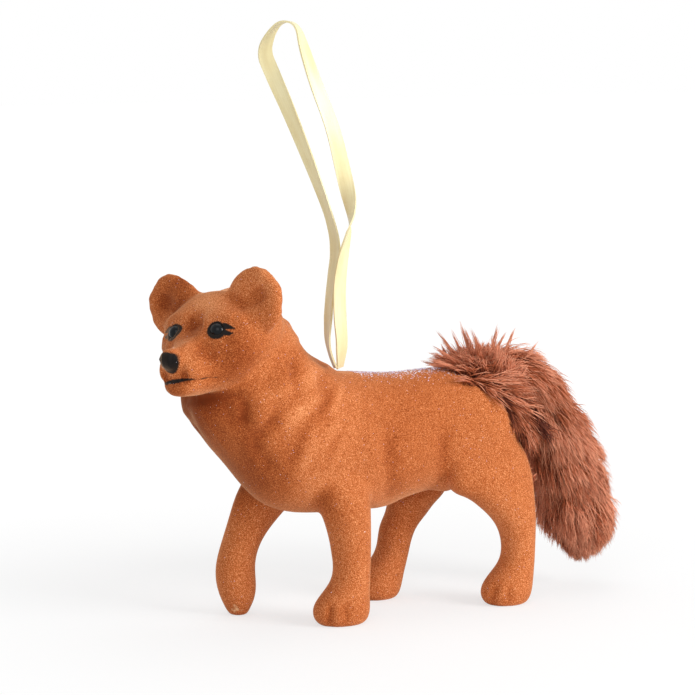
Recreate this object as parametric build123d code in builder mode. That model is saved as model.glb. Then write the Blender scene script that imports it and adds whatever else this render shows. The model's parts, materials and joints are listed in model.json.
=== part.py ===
"""Flocked fox ornament with a ribbon loop and a fur tail.

The figure is a hollow plastic moulding in halves: the trunk and the head are each a left and a right
shell. Legs and ears are separate mouldings that plug through shaped sockets in the shells. The eyes are
beads on pins. The tail is fur on a soft wire that a dowel holds in the rump, and the ribbon goes through
a hole in the back and ends in a knot inside.

The figure is drawn facing -X with its left side at -Y, the floor at Z = 0 and the ribbon over X = 0.
At the end every piece moves so that the origin is under the middle of the figure's box.
"""

import os
from dataclasses import dataclass
from math import cos, radians, sin, tan

from build123d import *

# Driving dimensions in millimetres and degrees

# Mouldings and their fits
WALL = 1.6
GLUE_GAP = 0.15
NECK_GAP = 0.6
SEAM_GAP = 0.05
BOSS_DIAMETER = 5.0
LOCATING_PEG_DIAMETER = 2.4
LOCATING_PEG_LENGTH = 3.0
LOCATING_PEG_CLEARANCE = 0.1

# Legs: distance of each paw from the middle plane
LEG_SPREAD = 11.0

# Head: its middle, how far it is turned to its left, and how far its right side drops
HEAD_X = -37.5
HEAD_Y = -3.0
HEAD_Z = 76.0
HEAD_TURN = 25.0
HEAD_ROLL = 7.0
NOSE_DEPTH = 4.4
NOSE_ROUNDING = 1.6

# Ears: their place round the skull, their lean, and their plate with the shares where it narrows
EAR_ANGLE = 40.0
EAR_LEAN = 46.0
EAR_FORWARD = 1.6
EAR_WIDTH = 16.4
EAR_LENGTH = 9.4
EAR_THICKNESS = 5.2
EAR_ROOT = 3.4
EAR_ROOT_WIDTH = 13.0
EAR_SHOULDER_WIDTH = 13.6
EAR_TIP_WIDTH = 8.2
EAR_TIP_THICKNESS = 2.2
EAR_FULL = 0.36
EAR_SHOULDER = 0.74
EAR_DISH_DIAMETER = 18.0
EAR_DISH_DEPTH = 1.4
EAR_DISH_HEIGHT = 4.6

# Eyes: where round the face they sit, which way they look, and their bead and pin
EYE_ANGLE = 39.5
EYE_OUTWARD = 32.0
EYE_UPWARD = 14.0
EYE_DIAMETER = 4.2
EYE_SINK = 0.2
EYE_INWARD = 1.8
EYE_PIN_DIAMETER = 1.2
EYE_PIN_LENGTH = 4.0
EYE_GAP = 0.1

# Tail: the dowel in the rump, the wire with its cross bar, and the fur round it
DOWEL_RISE = 41.0
DOWEL_DIAMETER = 4.4
DOWEL_LENGTH = 9.0
DOWEL_STAND = 0.8
WIRE_DIAMETER = 1.2
WIRE_BAR_DIAMETER = 2.4
WIRE_CLEARANCE = 0.3
FUR_START = 1.6
FUR_ROOT_DIAMETER = 7.0
FUR_CLEARANCE = 0.7
TAIL_LIFT = 30.0

# Ribbon: its strip, the roll that it swings on, the hole under it and the knot inside
RIBBON_WIDTH = 4.0
RIBBON_THICKNESS = 0.5
RIBBON_FACING = -28.0
RIBBON_STATIONS = 110
RIBBON_ROLL_DIAMETER = 2.2
RIBBON_CLEARANCE = 0.4
KNOT_DIAMETER = 9.0
KNOT_HEIGHT = 5.0
KNOT_ROUNDING = 2.2
KNOT_GAP = 0.7


@dataclass(frozen=True)
class Oval:
    """A cross-section of the trunk or head: its middle, full width and height, and how it tips back."""

    x: float
    z: float
    width: float
    height: float
    tip: float = 0.0


@dataclass(frozen=True)
class Level:
    """A level cross-section of a leg: its height, middle, full length and width, and shift inward."""

    z: float
    x: float
    length: float
    width: float
    inward: float = 0.0


@dataclass(frozen=True)
class Brush:
    """A cross-section of the tail's fur: its place back and up from the wire's bar, and its diameter."""

    back: float
    up: float
    diameter: float


@dataclass(frozen=True)
class Bend:
    """A point of the ribbon's route: across, up and forward in its own plane, and its twist there."""

    across: float
    up: float
    forward: float
    twist: float


# Trunk from the rump forward to its end inside the head
TRUNK = (
    Oval(x=52.6, z=48.0, width=13.0, height=12.0),
    Oval(x=46.5, z=48.2, width=23.6, height=24.2),
    Oval(x=38.0, z=47.7, width=27.0, height=29.0),
    Oval(x=28.0, z=47.2, width=25.6, height=31.6),
    Oval(x=17.0, z=46.0, width=27.6, height=33.4, tip=2.0),
    Oval(x=6.0, z=45.6, width=29.8, height=35.6, tip=5.0),
    Oval(x=-3.2, z=46.2, width=31.0, height=37.2, tip=10.0),
    Oval(x=-12.2, z=48.8, width=32.4, height=40.0, tip=24.0),
    Oval(x=-20.4, z=56.2, width=32.4, height=36.4, tip=38.0),
    Oval(x=-27.4, z=63.8, width=30.8, height=36.2, tip=46.0),
    Oval(x=-33.0, z=70.2, width=24.0, height=27.0, tip=47.0),
    Oval(x=-36.6, z=74.0, width=12.0, height=13.0, tip=47.0),
)
RUMP, WITHERS = TRUNK[1], TRUNK[6]

# Head from the back of the skull forward to the snout, and the nose on it, in the head's own frame
HEAD = (
    Oval(x=14.6, z=-0.8, width=20.0, height=16.6),
    Oval(x=9.4, z=-0.7, width=28.2, height=23.6),
    Oval(x=4.0, z=-1.0, width=30.4, height=24.0),
    Oval(x=-1.2, z=-1.8, width=28.8, height=23.6),
    Oval(x=-5.6, z=-4.4, width=22.4, height=19.0),
    Oval(x=-10.0, z=-6.8, width=14.6, height=14.2),
    Oval(x=-13.8, z=-7.4, width=11.8, height=12.0),
    Oval(x=-16.2, z=-7.4, width=7.4, height=7.6),
)
CROWN, FACE = HEAD[2], HEAD[4]
NOSE = Oval(x=-16.0, z=-4.2, width=6.0, height=4.8)

# Legs from the root inside the trunk down to the sole
FRONT_LEFT = (
    Level(z=48.0, x=-6.0, length=9.0, width=4.4, inward=3.6),
    Level(z=44.0, x=-6.0, length=14.6, width=8.2, inward=3.0),
    Level(z=39.0, x=-5.2, length=16.0, width=10.6, inward=1.6),
    Level(z=33.0, x=-4.2, length=14.4, width=11.8, inward=0.4),
    Level(z=26.5, x=-3.0, length=12.0, width=11.0),
    Level(z=20.0, x=-2.1, length=10.4, width=9.8),
    Level(z=13.5, x=-1.8, length=9.6, width=9.2),
    Level(z=9.0, x=-3.0, length=11.6, width=10.0),
    Level(z=4.8, x=-4.7, length=15.2, width=11.2),
    Level(z=1.6, x=-4.8, length=14.6, width=11.0),
    Level(z=0.0, x=-4.8, length=11.0, width=8.4),
)
FRONT_RIGHT = (
    Level(z=48.0, x=-8.0, length=9.0, width=4.4, inward=3.6),
    Level(z=44.0, x=-9.0, length=15.6, width=8.2, inward=3.0),
    Level(z=39.0, x=-10.8, length=18.0, width=10.6, inward=1.6),
    Level(z=32.5, x=-14.4, length=18.0, width=11.4, inward=0.4),
    Level(z=25.5, x=-19.1, length=13.4, width=10.6),
    Level(z=19.0, x=-22.9, length=10.2, width=9.8),
    Level(z=12.5, x=-24.6, length=10.2, width=9.6),
    Level(z=7.0, x=-24.2, length=10.0, width=9.4),
    Level(z=3.0, x=-23.9, length=7.6, width=7.4),
    Level(z=0.0, x=-23.7, length=4.6, width=4.8),
)
HIND_LEFT = (
    Level(z=50.0, x=40.0, length=10.0, width=4.0, inward=4.4),
    Level(z=46.0, x=40.5, length=16.0, width=7.2, inward=3.8),
    Level(z=40.0, x=39.4, length=24.0, width=10.2, inward=1.8),
    Level(z=35.0, x=40.0, length=25.0, width=11.2, inward=0.5),
    Level(z=30.5, x=42.6, length=20.6, width=11.0, inward=0.1),
    Level(z=26.0, x=45.6, length=15.2, width=10.5),
    Level(z=21.5, x=47.8, length=11.0, width=9.8),
    Level(z=16.5, x=48.7, length=9.0, width=9.0),
    Level(z=11.0, x=48.2, length=9.6, width=9.2),
    Level(z=5.6, x=45.6, length=14.0, width=10.6),
    Level(z=1.8, x=45.0, length=13.6, width=10.6),
    Level(z=0.0, x=45.0, length=10.0, width=8.0),
)
HIND_RIGHT = (
    Level(z=50.0, x=37.5, length=10.0, width=4.0, inward=4.4),
    Level(z=46.0, x=36.5, length=16.0, width=7.2, inward=3.8),
    Level(z=40.0, x=34.6, length=19.6, width=10.2, inward=1.8),
    Level(z=34.0, x=33.3, length=19.6, width=11.2, inward=0.5),
    Level(z=28.5, x=30.3, length=15.6, width=10.8),
    Level(z=22.0, x=26.4, length=11.2, width=10.0),
    Level(z=16.5, x=23.4, length=9.2, width=9.0),
    Level(z=11.0, x=21.8, length=9.4, width=9.2),
    Level(z=5.6, x=18.4, length=13.4, width=10.6),
    Level(z=1.8, x=17.6, length=13.0, width=10.6),
    Level(z=0.0, x=17.6, length=10.0, width=8.0),
)

# Bosses that locate the two halves of the trunk and of the head, in the middle plane
TRUNK_BOSSES = ((12.0, 47.0), (26.0, 55.0), (-22.0, 60.0))
HEAD_BOSSES = ((-5.0, -8.0),)

# Tail from behind the rump down to its tip
TAIL = (
    Brush(back=5.5, up=1.6, diameter=12.0),
    Brush(back=13.4, up=-5.6, diameter=16.8),
    Brush(back=19.2, up=-17.0, diameter=19.0),
    Brush(back=24.0, up=-30.0, diameter=19.6),
    Brush(back=27.6, up=-44.0, diameter=17.6),
    Brush(back=29.4, up=-52.0, diameter=9.0),
)

# The ribbon's route up from its roll, over the top and down again
RIBBON_ROUTE = (
    Bend(across=-0.6, up=0.5, forward=0.0, twist=-78.0),
    Bend(across=-2.9, up=5.5, forward=-0.3, twist=-78.0),
    Bend(across=-2.6, up=13.5, forward=-0.7, twist=-62.0),
    Bend(across=-1.9, up=23.0, forward=-1.2, twist=-64.0),
    Bend(across=-0.3, up=31.5, forward=-1.8, twist=-52.0),
    Bend(across=-2.2, up=40.0, forward=-2.4, twist=-60.0),
    Bend(across=-6.7, up=52.0, forward=-3.2, twist=-48.0),
    Bend(across=-12.5, up=66.5, forward=-3.8, twist=-30.0),
    Bend(across=-17.1, up=77.0, forward=-3.8, twist=-6.0),
    Bend(across=-19.2, up=82.0, forward=-3.2, twist=30.0),
    Bend(across=-17.3, up=87.0, forward=-2.0, twist=62.0),
    Bend(across=-14.4, up=90.2, forward=-0.4, twist=82.0),
    Bend(across=-10.3, up=89.3, forward=1.2, twist=100.0),
    Bend(across=-8.7, up=83.4, forward=2.6, twist=125.0),
    Bend(across=-5.6, up=74.0, forward=3.6, twist=140.0),
    Bend(across=-1.2, up=63.0, forward=3.8, twist=150.0),
    Bend(across=1.4, up=51.5, forward=3.4, twist=166.0),
    Bend(across=3.5, up=42.5, forward=2.8, twist=225.0),
    Bend(across=2.9, up=36.5, forward=2.3, twist=284.0),
    Bend(across=1.3, up=30.0, forward=1.9, twist=308.0),
    Bend(across=0.3, up=22.5, forward=1.5, twist=320.0),
    Bend(across=0.5, up=13.5, forward=1.0, twist=320.0),
    Bend(across=1.2, up=6.0, forward=0.5, twist=312.0),
    Bend(across=0.5, up=0.5, forward=0.0, twist=290.0),
)

# Sides of the figure, and a reach past anything that is cut
LEFT, RIGHT = -1, 1
REACH = 60.0


def oval_loft(ovals):
    """A smooth solid through ovals, each a plane with a full width and a full height."""
    with BuildPart() as body:
        for plane, width, height in ovals:
            with BuildSketch(plane):
                with BuildLine():
                    for quarter in (45, 135, 225, 315):
                        EllipticalCenterArc((0, 0), width / 2, height / 2, quarter, arc_size=90)
                make_face()
        loft()
    return body.part


def oval_plane(oval):
    """The plane of a trunk or head cross-section, whose normal points forward."""
    tip = radians(oval.tip)
    return Plane((oval.x, 0, oval.z), x_dir=(0, 1, 0), z_dir=(-cos(tip), 0, sin(tip)))


def oval_top(oval):
    """The highest point of a cross-section, in the middle plane."""
    tip = radians(oval.tip)
    return Vector(oval.x + sin(tip) * oval.height / 2, 0, oval.z + cos(tip) * oval.height / 2)


def oval_point(oval, angle, side):
    """A point round an upright cross-section, at an angle up from its widest line."""
    turn = radians(angle)
    return Vector(oval.x, side * oval.width / 2 * cos(turn), oval.z + oval.height / 2 * sin(turn))


def hull(ovals, inset):
    """The solid through trunk or head cross-sections, shrunk all round by the inset."""
    shrunk = []
    for index, oval in enumerate(ovals):
        ends = {0: inset, len(ovals) - 1: -inset}
        plane = oval_plane(oval).offset(ends.get(index, 0))
        shrunk.append((plane, oval.width - 2 * inset, oval.height - 2 * inset))
    return oval_loft(shrunk)


def leg_solid(levels, side, inset):
    """A leg from its root down to its sole, on the side given by the sign of Y."""
    ovals = []
    for level in levels:
        plane = Plane((level.x, side * (LEG_SPREAD - level.inward), level.z))
        ovals.append((plane, level.length - 2 * inset, level.width - 2 * inset))
    ovals[0] = (ovals[0][0].offset(-inset), *ovals[0][1:])
    return oval_loft(ovals)


def ear_plane(side):
    """The foot of an ear on the crown: X across the ear and Z up along it, in the head's own frame."""
    lean = radians(EAR_LEAN)
    foot = oval_point(CROWN, EAR_ANGLE, side) - Vector(EAR_FORWARD, 0, 0)
    return Plane(foot, x_dir=(0, cos(lean), -side * sin(lean)), z_dir=(0, side * sin(lean), cos(lean)))


def ear_plate(side, inset):
    """A rounded ear plate with its root, which goes into the skull."""
    foot = ear_plane(side)
    ovals = (
        (inset - EAR_ROOT, EAR_ROOT_WIDTH, EAR_THICKNESS),
        (0, EAR_WIDTH, EAR_THICKNESS),
        (EAR_FULL * EAR_LENGTH, EAR_WIDTH, EAR_THICKNESS),
        (EAR_SHOULDER * EAR_LENGTH, EAR_SHOULDER_WIDTH, (EAR_THICKNESS + EAR_TIP_THICKNESS) / 2),
        (EAR_LENGTH - inset, EAR_TIP_WIDTH, EAR_TIP_THICKNESS),
    )
    return oval_loft([(foot.offset(up), width - 2 * inset, deep - 2 * inset) for up, width, deep in ovals])


def ear_solid(side):
    """An ear plate with its front hollowed like a shallow dish."""
    ahead = EAR_THICKNESS / 2 + EAR_DISH_DIAMETER / 2 - EAR_DISH_DEPTH
    middle = ear_plane(side).offset(EAR_DISH_HEIGHT).origin + Vector(-ahead, 0, 0)
    with BuildPart() as ear:
        add(ear_plate(side, 0))
        add(ball(middle, EAR_DISH_DIAMETER), mode=Mode.SUBTRACT)
    return ear.part


def ball(centre, diameter):
    """A ball round a point."""
    with BuildPart(Plane(centre)) as sphere:
        Sphere(diameter / 2)
    return sphere.part


def cross_bar(middle, diameter):
    """A round bar across the figure, as long as it is thick."""
    with BuildPart(Plane(middle, x_dir=(1, 0, 0), z_dir=(0, 1, 0))) as bar:
        Cylinder(diameter / 2, diameter)
    return bar.part


def nose_half(side):
    """Half of the nose, a rounded oval pad at the top of the snout."""
    with BuildPart() as pad:
        with BuildSketch(oval_plane(NOSE)):
            Ellipse(NOSE.width / 2, NOSE.height / 2)
        extrude(amount=NOSE_DEPTH / 2, both=True)
        fillet(pad.edges().filter_by(GeomType.ELLIPSE), NOSE_ROUNDING)
        split(bisect_by=Plane((0, side * SEAM_GAP, 0), x_dir=(1, 0, 0), z_dir=(0, side, 0)), keep=Keep.TOP)
    return pad.part


def eye_solid(side, inset):
    """A bead eye on its pin, in the head's own frame."""
    out, rise = radians(EYE_OUTWARD), radians(EYE_UPWARD)
    look = Vector(-cos(out) * cos(rise), side * sin(out) * cos(rise), sin(rise))
    middle = oval_point(FACE, EYE_ANGLE, side) - look * EYE_SINK - Vector(0, side * EYE_INWARD, 0)
    pin = EYE_DIAMETER / 2 + EYE_PIN_LENGTH - inset
    with BuildPart(Plane(middle, z_dir=look)) as eye:
        Sphere(EYE_DIAMETER / 2 - inset)
        Cylinder(EYE_PIN_DIAMETER / 2 - inset, pin, align=(Align.CENTER, Align.CENTER, Align.MAX))
    return eye.part


def posts(places, start, end, diameter):
    """Round posts along Y through places in the middle plane."""
    with BuildPart() as rods:
        for x, z in places:
            with BuildSketch(Plane((x, start, z), x_dir=(1, 0, 0), z_dir=(0, 1, 0))):
                Circle(diameter / 2)
        extrude(amount=end - start)
    return rods.part


def half_hull(ovals, inset, side, past):
    """Half of a hull, with its flat face a hair from the middle plane or reaching some way past it."""
    with BuildPart() as body:
        for index, oval in enumerate(ovals):
            ends = {0: inset, len(ovals) - 1: -inset}
            whole = oval_plane(oval).offset(ends.get(index, 0))
            seam = whole.origin + Vector(0, side * SEAM_GAP, 0)
            wide, high = oval.width / 2 - inset, oval.height / 2 - inset
            with BuildSketch(Plane(seam, x_dir=(0, side, 0), z_dir=whole.z_dir)):
                with BuildLine():
                    EllipticalCenterArc((0, 0), wide, high, -90, arc_size=90)
                    EllipticalCenterArc((0, 0), wide, high, 0, arc_size=90)
                    if past > 0:
                        Polyline((0, high), (-past, high), (-past, -high), (0, -high))
                    else:
                        Line((0, high), (0, -high))
                make_face()
        loft()
    return body.part


def half_shell(ovals, pads, cuts, places, side):
    """One half of a hollow moulding, with its sockets, its bosses, and its pegs or peg holes."""
    with BuildPart() as bosses:
        add(half_hull(ovals, WALL / 2, side, 0))
        add(posts(places, side * SEAM_GAP, side * REACH, BOSS_DIAMETER), mode=Mode.INTERSECT)
    with BuildPart() as half:
        add(half_hull(ovals, 0, side, 0))
        for pad in pads:
            add(pad)
        add(half_hull(ovals, WALL, side, WALL), mode=Mode.SUBTRACT)
        add(bosses.part)
        for cut in cuts:
            add(cut, mode=Mode.SUBTRACT)
        if side == RIGHT:
            add(posts(places, -LOCATING_PEG_LENGTH, LOCATING_PEG_LENGTH, LOCATING_PEG_DIAMETER))
        else:
            hole = LOCATING_PEG_DIAMETER + 2 * LOCATING_PEG_CLEARANCE
            depth = LOCATING_PEG_LENGTH + LOCATING_PEG_CLEARANCE
            add(posts(places, -depth, depth, hole), mode=Mode.SUBTRACT)
    return half.part


def bend_radii(points):
    """The largest arcs that fit the corners of a route, each from its shorter run and its turn."""
    radii = []
    for before, corner, after in zip(points, points[1:], points[2:]):
        turn = radians((corner - before).get_angle(after - corner))
        shorter = min((corner - before).length, (after - corner).length)
        radii.append(0.45 * shorter / tan(turn / 2))
    return radii


LEGS = {
    "leg_front_left": (FRONT_LEFT, LEFT),
    "leg_front_right": (FRONT_RIGHT, RIGHT),
    "leg_hind_left": (HIND_LEFT, LEFT),
    "leg_hind_right": (HIND_RIGHT, RIGHT),
}
SIDES = {"left": LEFT, "right": RIGHT}
pieces = {}

# Where the head sits on the neck, facing -X before it is rolled and turned
head_turned = Location((HEAD_X, HEAD_Y, HEAD_Z), (0, 0, HEAD_TURN))
head_frame = head_turned * Location((0, 0, 0), (-HEAD_ROLL, 0, 0))

# Where the tail leaves the rump: the dowel's end, and the bar of the wire in its cup
dowel_rise = radians(DOWEL_RISE)
dowel_way = Vector(cos(dowel_rise), 0, sin(dowel_rise))
dowel_end = Plane(oval_top(RUMP) + dowel_way * DOWEL_STAND, x_dir=(0, 1, 0), z_dir=dowel_way)
tail_pivot = dowel_end.origin + dowel_way * (WIRE_BAR_DIAMETER / 2 - WIRE_CLEARANCE)
tail_axis = Axis(tail_pivot, (0, 1, 0))

# Where the ribbon leaves the back: the middle of its roll, with X across, Y up and Z forward
facing = radians(RIBBON_FACING)
ribbon_pivot = oval_top(WITHERS)
ribbon_plane = Plane(ribbon_pivot, x_dir=(cos(facing), sin(facing), 0), z_dir=(sin(facing), -cos(facing), 0))
ribbon_hole = RIBBON_WIDTH + 4 * RIBBON_CLEARANCE


def dowel_rod(inset):
    """The dowel in the rump, or the hole for it."""
    with BuildPart(dowel_end) as rod:
        Cylinder(
            DOWEL_DIAMETER / 2 - inset,
            DOWEL_LENGTH - inset,
            align=(Align.CENTER, Align.CENTER, Align.MAX),
        )
    return rod.part


with BuildPart() as ribbon_bore:
    with BuildSketch(Plane(ribbon_pivot)):
        Circle(ribbon_hole / 2)
    extrude(amount=2 * WALL, both=True)

necks = [head_frame.inverse() * half_hull(TRUNK, -NECK_GAP, side, WALL) for side in SIDES.values()]
for hand, side in SIDES.items():
    own_legs = [levels for levels, leg_side in LEGS.values() if leg_side == side]
    sockets = [leg_solid(levels, side, -GLUE_GAP) for levels in own_legs]
    trunk_cuts = [*sockets, dowel_rod(-GLUE_GAP), ribbon_bore.part]
    pieces[f"torso_shell_{hand}"] = half_shell(TRUNK, [], trunk_cuts, TRUNK_BOSSES, side)
    head_cuts = [*necks, ear_plate(side, -GLUE_GAP), eye_solid(side, -EYE_GAP)]
    skull = half_shell(HEAD, [nose_half(side)], head_cuts, HEAD_BOSSES, side)
    pieces[f"head_shell_{hand}"] = head_frame * skull
    pieces[f"ear_{hand}"] = head_frame * ear_solid(side)
    pieces[f"eye_{hand}"] = head_frame * eye_solid(side, 0)
for name, (levels, side) in LEGS.items():
    pieces[name] = leg_solid(levels, side, 0)

with BuildPart() as tail_dowel:
    add(dowel_rod(0))
    add(cross_bar(tail_pivot, WIRE_BAR_DIAMETER + 2 * WIRE_CLEARANCE), mode=Mode.SUBTRACT)
pieces["tail_dowel"] = tail_dowel.part

tail_points = [tail_pivot] + [tail_pivot + Vector(brush.back, 0, brush.up) for brush in TAIL]


def tail_rod(diameter):
    """The tail's wire along its middle line, or the bore for it in the fur."""
    with BuildPart() as rod:
        with BuildLine():
            FilletPolyline(*tail_points, radius=bend_radii(tail_points))
        with BuildSketch(Plane(tail_pivot, z_dir=tail_points[1] - tail_pivot)):
            Circle(diameter / 2)
        sweep()
    return rod.part


with BuildPart() as tail_wire:
    add(tail_rod(WIRE_DIAMETER))
    add(cross_bar(tail_pivot, WIRE_BAR_DIAMETER))
pieces["tail_wire"] = tail_wire.part

root_way = (tail_points[1] - tail_pivot).normalized()
root_plane = Plane(tail_pivot + root_way * FUR_START, z_dir=root_way)
brush_ovals = [(root_plane, FUR_ROOT_DIAMETER, FUR_ROOT_DIAMETER)]
for index, brush in enumerate(TAIL, start=1):
    ahead = tail_points[min(index + 1, len(TAIL))]
    plane = Plane(tail_points[index], z_dir=ahead - tail_points[index - 1])
    brush_ovals.append((plane, brush.diameter, brush.diameter))
with BuildPart() as tail_fur:
    add(oval_loft(brush_ovals))
    add(tail_rod(WIRE_DIAMETER + 2 * GLUE_GAP), mode=Mode.SUBTRACT)
    for lift in (0, TAIL_LIFT / 2, TAIL_LIFT):
        add(hull(TRUNK, -FUR_CLEARANCE).rotate(tail_axis, lift), mode=Mode.SUBTRACT)
pieces["tail_fur"] = tail_fur.part

route = [Vector(bend.across, bend.up, bend.forward) for bend in RIBBON_ROUTE]
route_radii = bend_radii(route)
with BuildLine() as route_line:
    FilletPolyline(*route, radius=route_radii)
route_wire = route_line.wire()
run_ends = [0.0]
for start, end in zip(route, route[1:]):
    run_ends.append(run_ends[-1] + (end - start).length)


def ribbon_twist(share):
    """The ribbon's twist in degrees at a share of its length."""
    at = share * run_ends[-1]
    for index, end in enumerate(run_ends[1:]):
        if at <= end or index == len(route) - 2:
            part = (at - run_ends[index]) / (end - run_ends[index])
            first, second = RIBBON_ROUTE[index].twist, RIBBON_ROUTE[index + 1].twist
            return first + (second - first) * part


with BuildPart() as ribbon_strip:
    for station in range(RIBBON_STATIONS + 1):
        share = station / RIBBON_STATIONS
        way = route_wire.tangent_at(share)
        flat = way.cross(Vector(0, 0, 1)).normalized()
        turn = radians(ribbon_twist(share))
        across = flat * cos(turn) + way.cross(flat) * sin(turn)
        with BuildSketch(Plane(route_wire.position_at(share), x_dir=across, z_dir=way)):
            Rectangle(RIBBON_WIDTH, RIBBON_THICKNESS)
    loft(ruled=True)
with BuildPart() as ribbon_loop:
    with BuildSketch(Plane(ribbon_pivot, x_dir=(1, 0, 0), z_dir=(0, 1, 0))):
        Circle(RIBBON_ROLL_DIAMETER / 2)
    extrude(amount=RIBBON_WIDTH / 2, both=True)
    add(ribbon_plane.location * ribbon_strip.part)
pieces["ribbon_loop"] = ribbon_loop.part

knot_top = ribbon_pivot.Z - WALL - KNOT_GAP
stub_top = ribbon_pivot.Z - RIBBON_ROLL_DIAMETER / 2 - RIBBON_CLEARANCE
knot_middle = Plane((ribbon_pivot.X, 0, knot_top - KNOT_HEIGHT / 2))
with BuildPart(knot_middle) as ribbon_knot:
    Cylinder(KNOT_DIAMETER / 2, KNOT_HEIGHT)
    fillet(ribbon_knot.edges().filter_by(GeomType.CIRCLE), KNOT_ROUNDING)
    with BuildSketch(knot_middle):
        Rectangle(2 * RIBBON_THICKNESS, RIBBON_WIDTH)
    extrude(amount=stub_top - knot_middle.origin.Z)
pieces["ribbon_knot"] = ribbon_knot.part

# Move everything so that the origin is under the middle of the figure without its ribbon
solid_box = Compound([piece for name, piece in pieces.items() if name != "ribbon_loop"]).bounding_box()
middle = (solid_box.min + solid_box.max) * 0.5
shift = Vector(-middle.X, -middle.Y, -solid_box.min.Z)
os.makedirs("parts", exist_ok=True)
for name, piece in pieces.items():
    piece = piece.moved(Location(shift))
    piece.label = name
    export_step(piece, f"parts/{name}.step")
    print(f"{name}: {len(piece.solids())} solid, {piece.volume:.1f} mm3")

print("figure without ribbon:", solid_box.size)
print("shift:", shift)
print("tail pivot:", tail_pivot + shift)
print("ribbon pivot:", ribbon_pivot + shift)
print("ribbon top:", ribbon_plane.from_local_coords(route[11]) + shift)
print("ribbon length:", round(route_wire.length, 1), "least radius:", round(min(route_radii), 2))
print("ribbon radii:", [round(radius, 1) for radius in route_radii])
for name, (levels, side) in LEGS.items():
    sole = levels[-1]
    print(name, "sole:", Vector(sole.x, side * (LEG_SPREAD - sole.inward), sole.z) + shift)
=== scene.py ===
"""Flocked fox ornament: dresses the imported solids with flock, fur, beads, glitter and a satin ribbon."""

import json
import logging
import math
from contextlib import contextmanager
from dataclasses import dataclass, field
from enum import Enum
from typing import Iterator, Sequence

import bpy
import numpy as np
from mathutils import Matrix, Vector
from mathutils.bvhtree import BVHTree

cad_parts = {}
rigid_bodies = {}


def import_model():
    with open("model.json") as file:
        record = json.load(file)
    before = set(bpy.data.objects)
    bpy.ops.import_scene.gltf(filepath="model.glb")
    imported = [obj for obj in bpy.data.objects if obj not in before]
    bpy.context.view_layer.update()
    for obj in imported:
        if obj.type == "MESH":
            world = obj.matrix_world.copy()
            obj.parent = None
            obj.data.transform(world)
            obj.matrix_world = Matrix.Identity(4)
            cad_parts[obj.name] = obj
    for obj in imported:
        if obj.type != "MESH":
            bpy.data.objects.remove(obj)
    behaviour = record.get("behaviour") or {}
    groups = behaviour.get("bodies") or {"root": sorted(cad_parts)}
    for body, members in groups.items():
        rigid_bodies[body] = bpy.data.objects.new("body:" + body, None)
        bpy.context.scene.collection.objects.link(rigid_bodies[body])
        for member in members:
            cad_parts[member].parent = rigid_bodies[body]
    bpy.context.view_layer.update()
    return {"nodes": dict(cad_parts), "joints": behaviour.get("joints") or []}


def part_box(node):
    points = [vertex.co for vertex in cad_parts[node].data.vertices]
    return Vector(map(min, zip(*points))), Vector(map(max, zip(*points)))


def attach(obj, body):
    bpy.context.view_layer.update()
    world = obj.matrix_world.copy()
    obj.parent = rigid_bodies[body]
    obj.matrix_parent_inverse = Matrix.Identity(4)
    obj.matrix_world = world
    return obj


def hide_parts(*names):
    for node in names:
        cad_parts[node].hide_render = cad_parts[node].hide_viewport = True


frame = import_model()

LOG = logging.getLogger("fox_ornament")
# A millimetre in the scene's metres
MM = 0.001
# Corners closer than this are merged, in millimetres
MERGE_GAP = 0.002
# A distance from paint that is past any edge, in millimetres
UNPAINTED = 20.0
# The share of the way to the neighbours' mean that evens out steps
HALF_WAY = 0.5
WHITE = (1.0, 1.0, 1.0, 1.0)
# Where the joints are, in millimetres
PIVOTS = {joint["name"]: Vector(joint["pos_m"]) / MM for joint in frame["joints"]}

Piece = bpy.types.Object
Socket = bpy.types.NodeSocket
Colour = tuple[float, float, float]
Range = tuple[float, float]


class Body(Enum):
    """The bodies of the part that a piece can ride on."""

    FIGURE = "figure"
    TAIL = "tail"
    RIBBON = "ribbon"


class Slot(Enum):
    """The record's material slots."""

    FLOCK = "flock"
    EYE = "eye"
    FUR = "fur"
    RIBBON = "ribbon"


class Element(Enum):
    """What is picked in edit mode."""

    VERTEX = "VERT"
    FACE = "FACE"


class Side(Enum):
    """The fox's left and right, by the sign of Y."""

    LEFT = -1
    RIGHT = 1


# Tools shared by the pieces


def add_object(name: str, data: bpy.types.ID) -> Piece:
    """A new object at the origin, linked to the scene.

    Args:
        name: The object's name.
        data: Its mesh, curve, camera or lamp.

    Returns:
        The object.
    """
    item = bpy.data.objects.new(name, data)
    bpy.context.scene.collection.objects.link(item)
    return item


def new_piece(name: str, points: Sequence, faces: Sequence) -> Piece:
    """A new mesh object at the origin.

    Args:
        name: The piece's name.
        points: Its corners in metres.
        faces: Its faces, by their corners' numbers.

    Returns:
        The piece.
    """
    mesh = bpy.data.meshes.new(name)
    mesh.from_pydata(points, [], faces)
    mesh.update()
    return add_object(name, mesh)


def copy_solid(node: str, name: str) -> Piece:
    """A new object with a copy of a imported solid's mesh."""
    return add_object(name, frame["nodes"][node].data.copy())


def select_only(piece: Piece) -> None:
    """Leaves one object selected and active.

    Args:
        piece: The object.
    """
    bpy.ops.object.select_all(action="DESELECT")
    piece.select_set(True)
    bpy.context.view_layer.objects.active = piece


@contextmanager
def editing(piece: Piece) -> Iterator[None]:
    """Holds a piece open in edit mode, with no other object selected.

    Args:
        piece: The object to edit.

    Yields:
        Nothing, while the piece is open.
    """
    select_only(piece)
    bpy.ops.object.mode_set(mode="EDIT")
    yield
    bpy.ops.object.mode_set(mode="OBJECT")


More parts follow.
